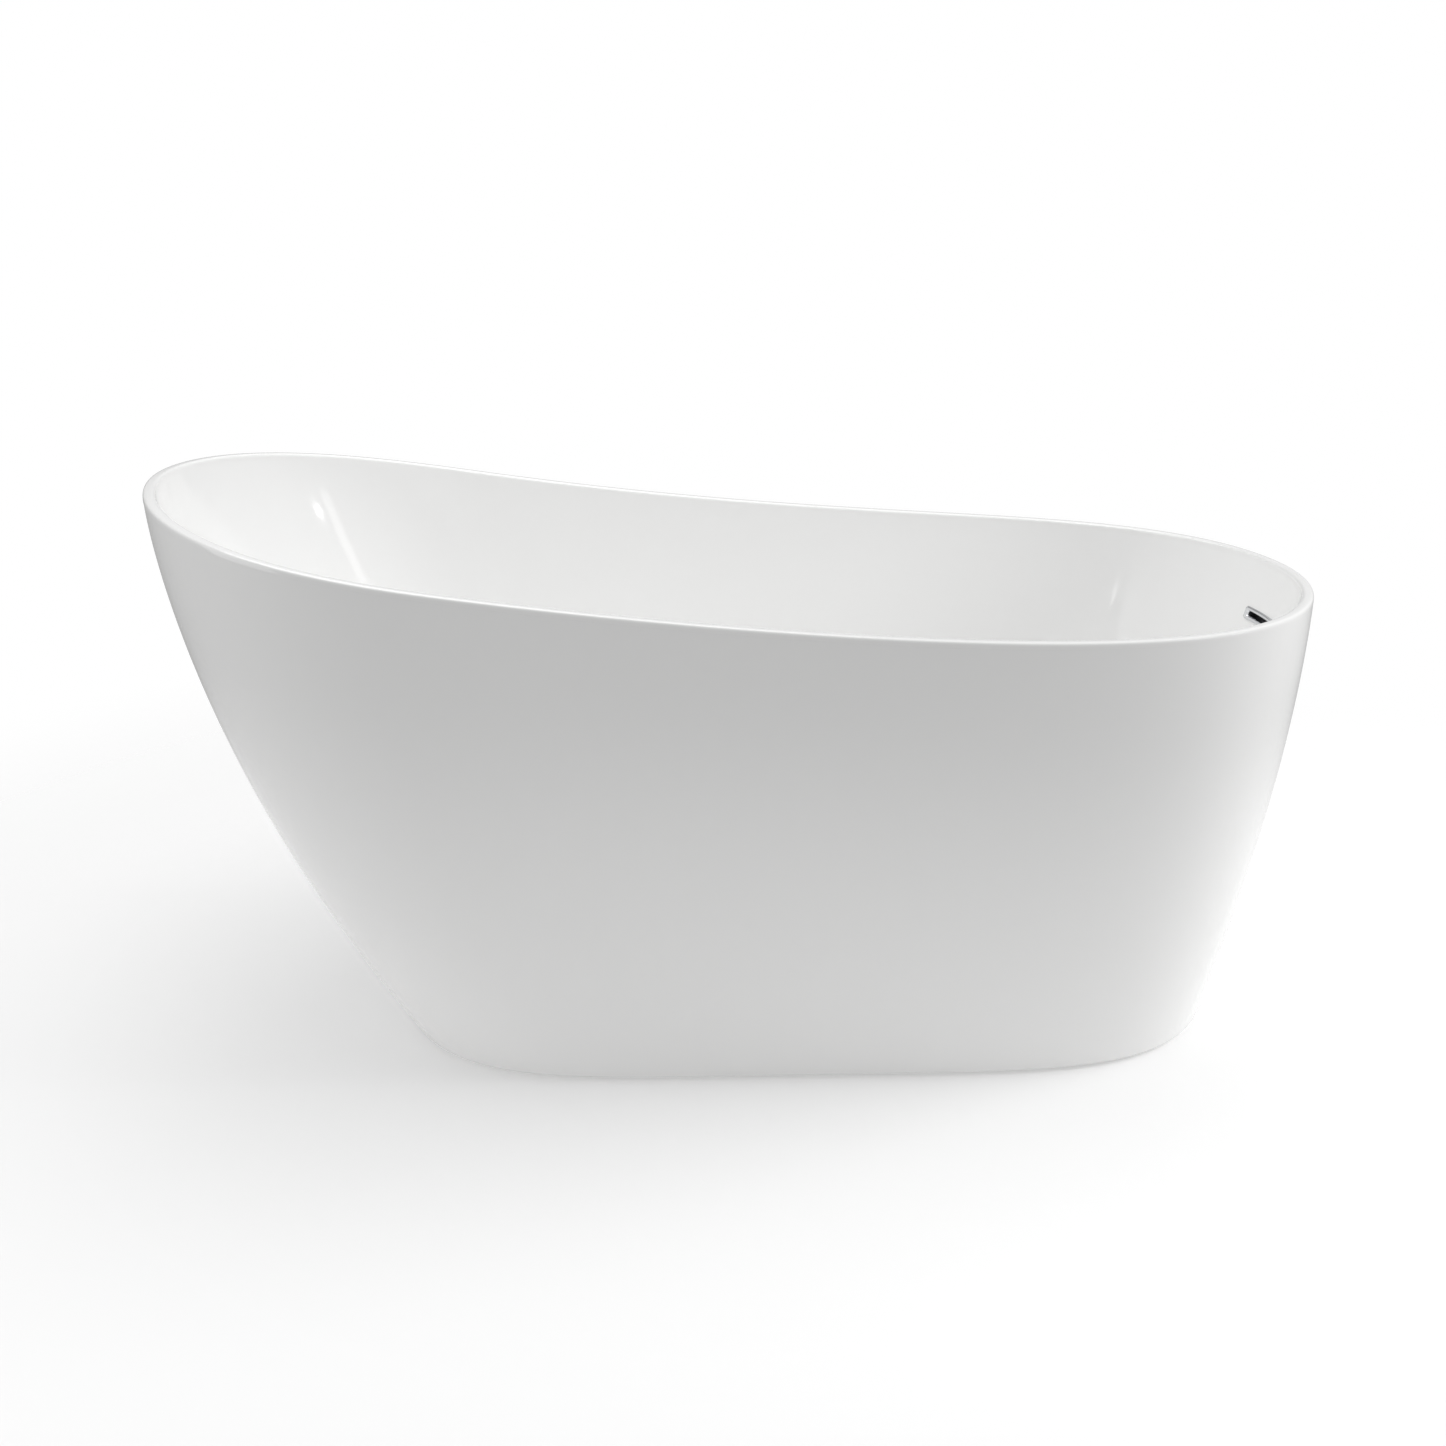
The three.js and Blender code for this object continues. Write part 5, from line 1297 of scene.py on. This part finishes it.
class MakeStopper(bpy.types.Operator):
    """Makes the push stopper: its cartridge, plunger, spring, domed cap and seal"""

    bl_idname = "bath.make_stopper"
    bl_label = "Stopper"

    def execute(self, context):
        self.cartridge_and_plunger()
        self.spring(DRAIN[:2])
        self.cap()
        low, high = corners("drain_cap_seal")
        outer, middle_level = high[0] - DRAIN[0], (low[2] + high[2]) / 2
        inner = outer - 0.0025
        section = [
            (inner, low[2]), (outer - 0.0004, low[2]), (outer, low[2] + 0.0007),
            (outer - 0.0006, middle_level), (outer, high[2] - 0.0007), (outer - 0.0004, high[2]),
            (inner, high[2]),
        ]
        lathe("drain_cap_seal", eased(section, 0.0004), 96, wrapped=True)
        return {"FINISHED"}

    def cartridge_and_plunger(self):
        """A grooved tube with a collar that rests on the spider, and the rod that slides in it."""
        low, high = corners("drain_cartridge")
        foot, top = low[2], high[2]
        collar, collar_top = foot + 0.0123, foot + 0.0153
        lathe("drain_cartridge", [
            (0.0045, foot), (0.0055, foot + 0.0006), (0.0058, collar - 0.004), (0.006, collar),
            (0.0078, collar), (0.008, collar + 0.0003), (0.008, collar_top - 0.0003),
            (0.0078, collar_top), (0.006, collar_top), (0.006, top - 0.0028), (0.0056, top - 0.0025),
            (0.0056, top - 0.0015), (0.006, top - 0.0012), (0.0057, top), (0.0036, top),
            (0.0033, top - 0.0006), (0.0033, foot + 0.002),
        ], 48)
        low, high = corners("drain_plunger")
        foot, top = low[2], high[2]
        lathe("drain_plunger", [
            (0.0022, foot), (0.003, foot + 0.0008), (0.003, foot + 0.003), (0.0025, foot + 0.0033),
            (0.0025, foot + 0.0045), (0.003, foot + 0.0048), (0.003, top),
        ], 40)

    def spring(self, place):
        """A helix whose end turns lie closer."""
        low, high = corners("drain_spring")
        wire = 0.0006
        radius = high[0] - place[0] - wire
        share = np.linspace(0, 1, 420)
        climb = share - 0.055 * np.sin(TURN * share)
        angle = 5 * TURN * share
        level = low[2] + wire + (high[2] - low[2] - 2 * wire) * climb
        path = np.stack([place[0] + radius * np.cos(angle), place[1] + radius * np.sin(angle), level], -1)
        skin = Skin().capped(sweep(path, circle(wire, 14), (0, 0, 1)))
        piece = stand_for("drain_spring", skin)
        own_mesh(piece)

    def cap(self):
        """A domed disc: under it a hub with a socket and a ring that holds the seal."""
        low, high = corners("drain_cap")
        edge, foot, under, top = high[0] - DRAIN[0], low[2], low[2] + 0.006, high[2]
        share = np.linspace(0.985, 0.0, 22)[:-1]
        crown = [(edge * s, under + (top - under) * (1 - 0.42 * s**2)) for s in share]
        lathe("drain_cap", [
            (0.0031, foot + 0.0055), (0.0031, foot), (0.0057, foot), (0.006, foot + 0.0003),
            (0.006, under - 0.0006), (0.0066, under), (0.0152, under), (0.0152, under - 0.0045),
            (0.0155, under - 0.0045), (0.0167, under - 0.0042), (0.0167, under),
            (edge - 0.0016, under), (edge - 0.0004, under + 0.0003), (edge, under + 0.0012),
            (edge - 0.0001, under + 0.0020), *crown,
        ], 128, 34.0)


class MakeWaste(bpy.types.Operator):
    """Makes the waste body with its spigot, the outlet pipe and its nut"""

    bl_idname = "bath.make_waste"
    bl_label = "Waste"

    def execute(self, context):
        self.body(DRAIN[:2])
        ring("outlet_pipe", PIPE_BORE, 0.0005)
        low, high = corners("outlet_nut")
        angle = np.linspace(0, TURN, 144, endpoint=False)[None]
        rounding = np.array([0.0, 0.0008, 0.0016])
        levels = np.concatenate([low[2] + rounding, high[2] - rounding[::-1]])[:, None]
        groove = 0.0014 * (0.5 + 0.5 * np.cos(20 * angle)) ** 2
        inset = np.array([0.0010, 0.0003, 0.0, 0.0, 0.0003, 0.0010])[:, None]
        outer = polar(high[0] - DRAIN[0] - inset - groove * (inset < 0.0005), levels, DRAIN[:2])
        bore = turned([(BODY_HOLE, high[2]), (BODY_HOLE, low[2])], 144, DRAIN[:2])
        stand_for("outlet_nut", Skin().closed(np.concatenate([outer, bore])))
        return {"FINISHED"}

    def body(self, place):
        """A stepped tube with a ribbed grip near its top, and the hose's spigot on its side. The
        bare levels are heights above the floor."""
        low, high = corners("waste_body")
        outer = WASTE_RADIUS
        angle = np.linspace(0, TURN, 144, endpoint=False)[None]
        outside = np.array([
            (0.0210, low[2]), (0.0229, low[2]), (0.0233, low[2] + 0.0005), (0.0233, 0.0700),
            (0.0233, 0.0900), (0.0240, 0.0925), (0.0272, 0.0962), (outer, 0.0976), (outer, 0.1030),
            (outer, 0.1038), (outer, 0.1190), (outer, 0.1198), (outer, high[2] - 0.0006),
            (outer - 0.0006, high[2]),
        ])
        ribs = 0.0008 * (0.5 + 0.5 * np.cos(24 * angle)) ** 3
        grip = np.array([0] * 9 + [1, 1] + [0] * 3)[:, None]
        rows = polar(outside[:, :1] - 0.0008 * grip + ribs * grip, outside[:, 1:], place)
        inside = [
            (0.0240, high[2]), (BODY_HOLE, high[2] - 0.0006), (BODY_HOLE, 0.0992),
            (PIPE_BORE, 0.0985), (PIPE_BORE, 0.0402), (0.0203, 0.0400), (0.0203, low[2] + 0.0004),
        ]
        skin = Skin().closed(np.concatenate([rows, turned(inside, 144, place)]))
        start, end, radius = place[0] + 0.0190, high[0], spigot_radius()
        tube = [
            (radius, start), (radius, end - 0.018), (radius + 0.0005, end - 0.014),
            (radius, end - 0.0135), (radius + 0.0005, end - 0.008), (radius, end - 0.0075),
            (radius, end - 0.001), (radius - 0.0008, end), (radius - SPIGOT_WALL, end),
            (radius - SPIGOT_WALL, start),
        ]
        skin.closed(across(turned(tube, 48), middle("hose_clamp_1")[2]))
        stand_for("waste_body", skin)


class MakeHose(bpy.types.Operator):
    """Makes the ribbed overflow hose and the two worm clamps"""

    bl_idname = "bath.make_hose"
    bl_label = "Hose and clamps"

    def execute(self, context):
        shells, radius = Shells(), fitting().hose_radius
        path = self.path(shells)
        along = np.concatenate([[0], np.cumsum(np.linalg.norm(np.diff(path, axis=0), axis=1))])
        cuffs = np.clip((np.minimum(along, along[-1] - along) - 0.024) / 0.004, 0, 1)
        ribs = (0.5 - 0.5 * np.cos(TURN * along / RIB_PITCH)) * cuffs
        outer, inner = (
            sweep(path, circle(radius - inset, 40), (0, 1, 0), 1 - 0.075 * ribs)
            for inset in (0.0006, 0.0006 + HOSE_WALL)
        )
        skin = Skin().closed(np.concatenate([outer, inner[::-1]]))
        stand_for("overflow_hose", skin, 50.0)
        self.clamp("hose_clamp_1", True)
        self.clamp("hose_clamp_2", False)
        return {"FINISHED"}

    def path(self, shells):
        """A centripetal Catmull-Rom curve through the hose's places, from the waste's spigot under
        the foot rail and up the gap between the shells to the overflow body."""
        low, high = corners("overflow_hose")
        level, radius = middle("hose_clamp_1")[2], fitting().hose_radius
        rail_x, duct_x = corners("cross_rail_3")[1][0], middle("hose_clamp_2")[0]
        start, top = low[0], high[2]
        end = corners("overflow_body")[0][2] - radius
        bend_x = max(start + 0.026, rail_x) + 0.004
        bend_level = level + (end - level) * 0.55
        wall_x, skirt_x = shells.gap_at(np.array([bend_level]))
        gap = (wall_x + skirt_x)[0] / 2
        places = np.array([
            (start, level), ((start + bend_x) / 2, level), (bend_x, level),
            (bend_x + (gap - bend_x) * 0.6, level + (bend_level - level) * 0.3),
            (gap - radius / 2, bend_level), (duct_x, end), (duct_x, (end + top) / 2), (duct_x, top),
        ])
        places = np.concatenate([2 * places[:1] - places[1:2], places, 2 * places[-1:] - places[-2:-1]])
        step = np.linalg.norm(np.diff(places, axis=0), axis=1)[:, None] ** 0.5
        t = np.linspace(0, 1, 70, endpoint=False)[:, None]
        parts = []
        for i in range(1, len(places) - 2):
            a, b, c, d = places[i - 1: i + 3]
            first, second, third = step[i - 1], step[i], step[i + 1]
            leave = ((b - a) / first - (c - a) / (first + second) + (c - b) / second) * second
            arrive = ((c - b) / second - (d - b) / (second + third) + (d - c) / third) * second
            parts.append((2 * t**3 - 3 * t**2 + 1) * b + (t**3 - 2 * t**2 + t) * leave
                         + (-2 * t**3 + 3 * t**2) * c + (t**3 - t**2) * arrive)
        flat = np.concatenate([*parts, places[-2:-1]])
        return np.stack([flat[:, 0], np.zeros(len(flat)), flat[:, 1]], -1)

    def clamp(self, node, level_axis):
        """A band with punched slots, a housing and a slotted worm across it."""
        inner, half = fitting().hose_radius + GAP, CLAMP_HALF_WIDTH
        angle = np.linspace(0, TURN, 200, endpoint=False)[None]
        height = np.array([-1, -0.9, -0.55, -0.45, 0.45, 0.55, 0.9, 1.0])[:, None] * half
        slots = np.clip(2.5 * np.sin(36 * angle) - 1, 0, 1) * (np.abs(height) < 0.5 * half)
        outer = inner + 0.0010 - 0.0005 * slots - 0.0002 * (np.abs(height) > 0.95 * half)
        inside = polar(inner + 0 * angle + 0 * height, height)
        band = np.concatenate([polar(outer, height), inside[::-1]])
        lower = (-0.0060, inner + 0.0006, -half * 0.66)
        upper = (0.0060, inner + 0.0060, half * 0.66)
        worm = threaded(0.0026, 0.0005, 0.0013, -0.0058, 0.0058, (0.0, 0.0), 40, 7)
        head = turned([
            (0.0012, 0.0058), (0.0034, 0.0058), (0.0036, 0.0061), (0.0036, 0.0092), (0.0033, 0.0096),
            (0.0013, 0.0096), (0.0012, 0.0084),
        ], 40)
        parts = [("closed", band), ("capped", block(lower, upper, 0.0012))]
        for points in (worm, head):
            parts.append(("capped", across(points, 0.0) + np.array([0, inner + 0.0032, 0])))
        skin, centre = Skin(), middle(node) * np.array([1, 0, 1])
        for kind, points in parts:
            if level_axis:
                points = across(points * np.array([1, -1, -1]), 0.0)
            getattr(skin, kind)(points + centre)
        stand_for(node, skin)


# ------------------------------------------------------------------ the frame and the feet

NUT_FLAT = 0.0095  # half the weld nuts' width across flats
NUT_BORE = 0.0064
STRAP = 0.0025  # thickness of the brackets
STRAP_BEND = 0.004  # radius of the brackets' bends, at the middle of the strap
BOARD_CORNER = 0.080
BOARD_EASE = 0.0012
SCREW_HEAD = (0.005, 0.003)  # radius and height
SCREW_RADIUS = 0.0025
BOLT_HEAD_HEIGHT = 0.004
BOLT_FLANGE = 0.0064
BOLT_RADIUS = 0.003


class MakeRails(bpy.types.Operator):
    """Makes the side rails, and the cross rails with their welded nuts"""

    bl_idname = "bath.make_rails"
    bl_label = "Rails"

    def execute(self, context):
        wall = fitting().rail_wall
        for index in (1, 2):
            node = f"side_rail_{index}"
            low, high = corners(node)
            stand_for(node, Skin().closed(tube_beam(low, high, wall, 0)))
        studs = [middle(f"foot_stud_{index}") for index in range(1, 6)]
        for index in (1, 2, 3):
            node = f"cross_rail_{index}"
            low, high = corners(node)
            nut_low = low[2]
            low[2] = high[2] - (high[0] - low[0])
            skin = Skin().closed(tube_beam(low, high, wall, 1))
            for stud in studs:
                if low[0] < stud[0] < high[0]:
                    hexagon_prism(NUT_FLAT, nut_low, low[2] - 0.00005, stud[:2], NUT_BORE, skin)
                    skin.closed(self.bead(stud, low[2]))
            stand_for(node, skin)
        return {"FINISHED"}

    def bead(self, stud, level):
        """A weld bead round the nut: a ring whose section swells and shrinks 26 times."""
        angle = np.linspace(0, TURN, 208, endpoint=False)
        reach = 0.0104 + 0.0002 * np.sin(5 * angle)
        x, y = stud[0] + reach * np.cos(angle), stud[1] + reach * np.sin(angle)
        path = np.stack([x, y, np.full_like(angle, level - 0.0004)], -1)
        wrapped = np.concatenate([path[-1:], path, path[:1]])
        size = 1 + 0.18 * np.sin(26 * np.concatenate([angle[-1:], angle, angle[:1]]))
        return sweep(wrapped, circle(0.0012, 12), (0, 0, 1), size)[1:-1]


class MakeBrackets(bpy.types.Operator):
    """Makes the bent straps that tie the skirt's flange to the cross rails"""

    bl_idname = "bath.make_brackets"
    bl_label = "Brackets"

    def execute(self, context):
        thick, bend = STRAP, STRAP_BEND
        low, high = corners("skirt_bracket_1")
        section = loop((high[0] - low[0]) / 2, thick / 2, 0.0004, 4, 2)[:, ::-1]
        turn = np.linspace(0, math.pi / 2, 9)
        lag, lead = bend * (1 - np.sin(turn)), bend * (1 - np.cos(turn))
        for index in range(1, 5):
            node = f"skirt_bracket_{index}"
            low, high = corners(node)
            side = 1 if high[1] > 0 else -1
            inner, outer = (low[1], high[1]) if side > 0 else (high[1], low[1])
            outer -= side * thick / 2
            bottom, top = low[2] + thick / 2, high[2] - thick / 2
            lower = np.stack([outer - side * lag, bottom + lead], -1)
            upper = np.stack([outer - side * lead, top - lag], -1)
            flat = np.array([
                (inner, bottom), (inner + side * 0.001, bottom), *lower, *upper,
                (inner + side * 0.001, top), (inner, top),
            ])
            path = np.stack([np.full(len(flat), middle(node)[0]), flat[:, 0], flat[:, 1]], -1)
            stand_for(node, Skin().capped(sweep(path, section, (1, 0, 0))))
        return {"FINISHED"}


class MakeBoard(bpy.types.Operator):
    """Makes the plywood board under the basin's floor"""

    bl_idname = "bath.make_board"
    bl_label = "Base board"

    def execute(self, context):
        low, high = corners("base_board")
        ease, slight = BOARD_EASE, BOARD_EASE * 0.3
        rows = [(ease, low[2]), (slight, low[2] + slight), (0, low[2] + ease)]
        rows += [(0, (low[2] + high[2]) / 2)]
        rows += [(0, high[2] - ease), (slight, high[2] - slight), (ease, high[2])]
        rows = [(inset, level, BOARD_CORNER - inset) for inset, level in rows]
        piece = stand_for("base_board", Skin().capped(storeys(low, high, rows, 24, 8)))
        places = places_of(piece)
        inside = np.minimum(places[:, 2] - low[2], high[2] - places[:, 2])
        paint(piece, "edge", (inside > ease * 0.1).astype(float))
        return {"FINISHED"}


class MakeScrews(bpy.types.Operator):
    """Makes the cross-recess screws and the hexagon bolts of the frame"""

    bl_idname = "bath.make_screws"
    bl_label = "Screws and bolts"

    def execute(self, context):
        radius, tall = SCREW_HEAD
        for kind, head_up in (("board_screw", False), ("flange_screw", True), ("rail_screw", False)):
            for index in range(1, 5):
                node = f"{kind}_{index}"
                low, high, place = seated(node)
                level = high[2] - tall if head_up else low[2] + tall
                down = level - low[2] if head_up else high[2] - level
                points = cross_headed(radius, tall, SCREW_RADIUS, down, place, level, head_up)
                stand_for(node, Skin().capped(points))
        for index in range(1, 7):
            self.bolt(f"frame_bolt_{index}")
        return {"FINISHED"}

    def bolt(self, node):
        """A hexagon head with a flange under the rail, and a threaded shank up through both."""
        low, high, place = seated(node)
        head = low[2] + BOLT_HEAD_HEIGHT
        skin = Skin()
        hexagon_prism((high[0] - low[0]) / 2, low[2], head - 0.0006, place, 0.0, skin)
        under = head - 0.0009
        flange = eased([(0.0, under), (BOLT_FLANGE, under), (BOLT_FLANGE, head), (0.0, head)], 0.0003)
        skin.capped(turned(flange[flange[:, 0] > 1e-6], 48, place))
        skin.capped(threaded(BOLT_RADIUS, 0.0006, 0.001, head - 0.0004, high[2], place, 40, 7))
        stand_for(node, skin)


class MakeFeet(bpy.types.Operator):
    """Makes the levelling feet: fluted pads and threaded studs with a hexagon collar"""

    bl_idname = "bath.make_feet"
    bl_label = "Feet"

    def execute(self, context):
        for index in range(1, 6):
            self.pad(f"foot_pad_{index}")
            self.stud(f"foot_stud_{index}")
        return {"FINISHED"}

    def pad(self, node):
        """A low cone with 36 grip flutes round its foot, a tread ring below and a socket on top."""
        low, high, place = seated(node)
        radius, top = (high[0] - low[0]) / 2, high[2]
        angle = np.linspace(0, TURN, 288, endpoint=False)[None]
        profile = np.array([
            (0.010, 0.0008), (0.015, 0.0008), (0.0156, 0.0), (0.0205, 0.0), (0.0214, 0.0003),
            (radius, 0.0012), (radius, 0.0020), (radius, 0.0055), (radius - 0.0003, 0.0063),
            (radius - 0.0013, 0.0069), (0.0150, 0.0098), (0.0120, 0.0122), (0.0108, top - 0.0008),
            (0.0102, top), (0.0070, top), (0.0064, top - 0.0006), (0.0064, 0.0050),
        ])
        fluted = np.array([0] * 6 + [1, 1] + [0] * 9)[:, None]
        flutes = 0.0007 * (0.5 + 0.5 * np.cos(36 * angle)) * fluted
        points = polar(profile[:, :1] - flutes, profile[:, 1:], place)
        stand_for(node, Skin().capped(points), 36.0)

    def stud(self, node):
        """A ball-ended shank, a hexagon collar for a spanner and the thread above it."""
        low, high, place = seated(node)
        radius, pitch = fitting().stud_radius, fitting().thread_pitch
        foot, collar = low[2], low[2] + 0.009
        ball = [
            (0.0025, foot), (0.0045, foot + 0.0007), (0.0057, foot + 0.0022), (radius, foot + 0.004),
            (radius, foot + 0.0055), (0.0052, foot + 0.0065), (0.0052, collar + 0.0002),
        ]
        skin = Skin().capped(turned(ball, 48, place))
        hexagon_prism((high[1] - low[1]) / 2 * 0.866, collar, collar + 0.006, place, 0.0, skin)
        skin.capped(threaded(radius, 0.0011, pitch, collar + 0.0058, high[2], place, 48, 8))
        stand_for(node, skin)


# ------------------------------------------------------------------ the stage

CAMERA_TARGET = (-0.01924, 0.0, 0.37336)
FLOOR_HALF = 12.0
FLOOR_FADE = (0.65, 1.9)  # where the floor starts to fade, and where it is gone
PANEL_LIGHTS = (  # name, the studio's power and the share of it, size, place, target
    ("overhead", "top_light", 1.0, (2.2, 1.7), (-0.45, 0.25, 2.3), (0.0, 0.0, 0.4)),
    ("foot_panel", "end_light", 1.0, (1.4, 1.2), (2.3, -0.1, 1.4), (0.4, 0.0, 0.4)),
    ("head_panel", "head_light", 1.0, (1.4, 1.6), (-2.4, -1.0, 1.0), (-0.3, 0.0, 0.4)),
    ("spark", "spark", 1.0, (0.16, 0.07), (2.20, -0.60, 1.25), (-0.60, 0.28, 0.61)),
    ("streak", "streak", 1.0, (0.24, 0.9), (2.0, -0.92, 1.50), (-0.55, 0.29, 0.50)),
    ("glint", "spark", 0.1, (0.08, 0.04), (-1.29, -1.36, 0.86), (0.57, 0.27, 0.48)),
)


class MakeStage(bpy.types.Operator):
    """Makes the pale floor, the soft lights and the camera"""

    bl_idname = "bath.make_stage"
    bl_label = "Stage"

    def execute(self, context):
        studio = context.scene.bath_studio
        self.floor(studio)
        self.sky(context.scene, studio)
        for name, power_name, share, size, place, target in PANEL_LIGHTS:
            energy = getattr(studio, power_name) * share
            lamp = self.panel_light(name, energy, size, place, target)
            lamp.visible_glossy = name != "foot_panel"
        self.camera(context.scene, studio)
        context.scene.view_settings.view_transform = "Standard"
        return {"FINISHED"}

    def floor(self, studio):
        """A pale plane under the tub that fades out into the white far from it."""
        mesh = bpy.data.meshes.new("floor")
        places = [(x * FLOOR_HALF, y * FLOOR_HALF, 0) for x, y in ((-1, -1), (1, -1), (1, 1), (-1, 1))]
        mesh.from_pydata(places, [], [(0, 1, 2, 3)])
        plane = bpy.data.objects.new("floor", mesh)
        bpy.context.scene.collection.objects.link(plane)
        finish = Finish(
            "pale_floor",
            Base_Color=(*studio.floor_colour, 1.0),
            Roughness=0.7,
            Emission_Color=(1.0, 1.0, 1.0, 1.0),
            Emission_Strength=studio.floor_glow,
        )
        away = finish.node(
            "ShaderNodeVectorMath", {"operation": "LENGTH"}, {"Vector": finish.places}, out="Value"
        )
        start, end = FLOOR_FADE
        span = {"Value": away, "From Min": start, "From Max": end, "To Min": 1.0, "To Max": 0.0}
        near = finish.node("ShaderNodeMapRange", {"interpolation_type": "SMOOTHSTEP"}, span)
        beneath = finish.node("ShaderNodeNewGeometry", out="Backfacing")
        finish.feed("Alpha", near * (1.0 - beneath))
        mesh.materials.append(finish.material)

    def sky(self, scene, studio):
        """Even light from all round, white where the camera sees it."""
        world = bpy.data.worlds.new("studio")
        scene.world = world
        world.use_nodes = True
        nodes, links = world.node_tree.nodes, world.node_tree.links
        light = nodes["Background"]
        light.inputs["Strength"].default_value = studio.sky
        seen = nodes.new("ShaderNodeBackground")
        path, mix = nodes.new("ShaderNodeLightPath"), nodes.new("ShaderNodeMixShader")
        for background in (light, seen):
            background.inputs["Color"].default_value = (1.0, 1.0, 1.0, 1.0)
        links.new(path.outputs["Is Camera Ray"], mix.inputs[0])
        links.new(light.outputs[0], mix.inputs[1])
        links.new(seen.outputs[0], mix.inputs[2])
        links.new(mix.outputs[0], nodes["World Output"].inputs["Surface"])

    def panel_light(self, name, energy, size, place, target):
        """A rectangular light that faces a target."""
        data = bpy.data.lights.new(name, "AREA")
        data.shape, data.energy = "RECTANGLE", energy
        data.size, data.size_y = size
        lamp = bpy.data.objects.new(name, data)
        bpy.context.scene.collection.objects.link(lamp)
        lamp.location = place
        lamp.rotation_mode = "QUATERNION"
        lamp.rotation_quaternion = (Vector(target) - Vector(place)).to_track_quat("-Z", "Y")
        return lamp

    def camera(self, scene, studio):
        """The camera stands off its target at an azimuth and an elevation."""
        data = bpy.data.cameras.new("camera")
        data.lens, data.sensor_width = studio.lens, 36.0
        camera = bpy.data.objects.new("camera", data)
        scene.collection.objects.link(camera)
        around_it, above = math.radians(studio.azimuth), math.radians(studio.elevation)
        level = math.cos(above)
        back = Vector((math.sin(around_it) * level, -math.cos(around_it) * level, math.sin(above)))
        camera.location = Vector(CAMERA_TARGET) + back * studio.distance
        camera.rotation_mode = "QUATERNION"
        camera.rotation_quaternion = (-back).to_track_quat("-Z", "Y")
        scene.camera = camera


GROUPS = {
    "bath_shell": ShellSizes,
    "bath_fitting": FittingSizes,
    "bath_finishes": Finishes,
    "bath_studio": Studio,
}
OPERATORS = [
    MakeBasin, MakeSkirt, MakeOverflow, MakeDrain, MakeStopper, MakeWaste, MakeHose,
    MakeRails, MakeBrackets, MakeBoard, MakeScrews, MakeFeet, MakeStage,
]


class BathPanel(bpy.types.Panel):
    """Lists the tub's sizes, finishes and operators."""

    bl_idname = "VIEW3D_PT_bath"
    bl_label = "Bathtub"
    bl_space_type = "VIEW_3D"
    bl_region_type = "UI"
    bl_category = "Bathtub"

    def draw(self, context):
        for operator in OPERATORS:
            self.layout.operator(operator.bl_idname)
        for name in GROUPS:
            group = getattr(context.scene, name)
            box = self.layout.box()
            for row in group.__annotations__:
                box.prop(group, row)


def register():
    """Registers every class and hangs the property groups on the scene."""
    for kind in [*GROUPS.values(), *OPERATORS, BathPanel]:
        bpy.utils.register_class(kind)
    for name, kind in GROUPS.items():
        setattr(bpy.types.Scene, name, bpy.props.PointerProperty(type=kind))


def unregister():
    """Takes everything off again, the last first."""
    for name in GROUPS:
        delattr(bpy.types.Scene, name)
    for kind in reversed([*GROUPS.values(), *OPERATORS, BathPanel]):
        bpy.utils.unregister_class(kind)


def main():
    """Makes every piece and the stage."""
    register()
    for operator in OPERATORS:
        getattr(bpy.ops.bath, operator.bl_idname.split(".")[1])()


if __name__ == "__main__":
    main()
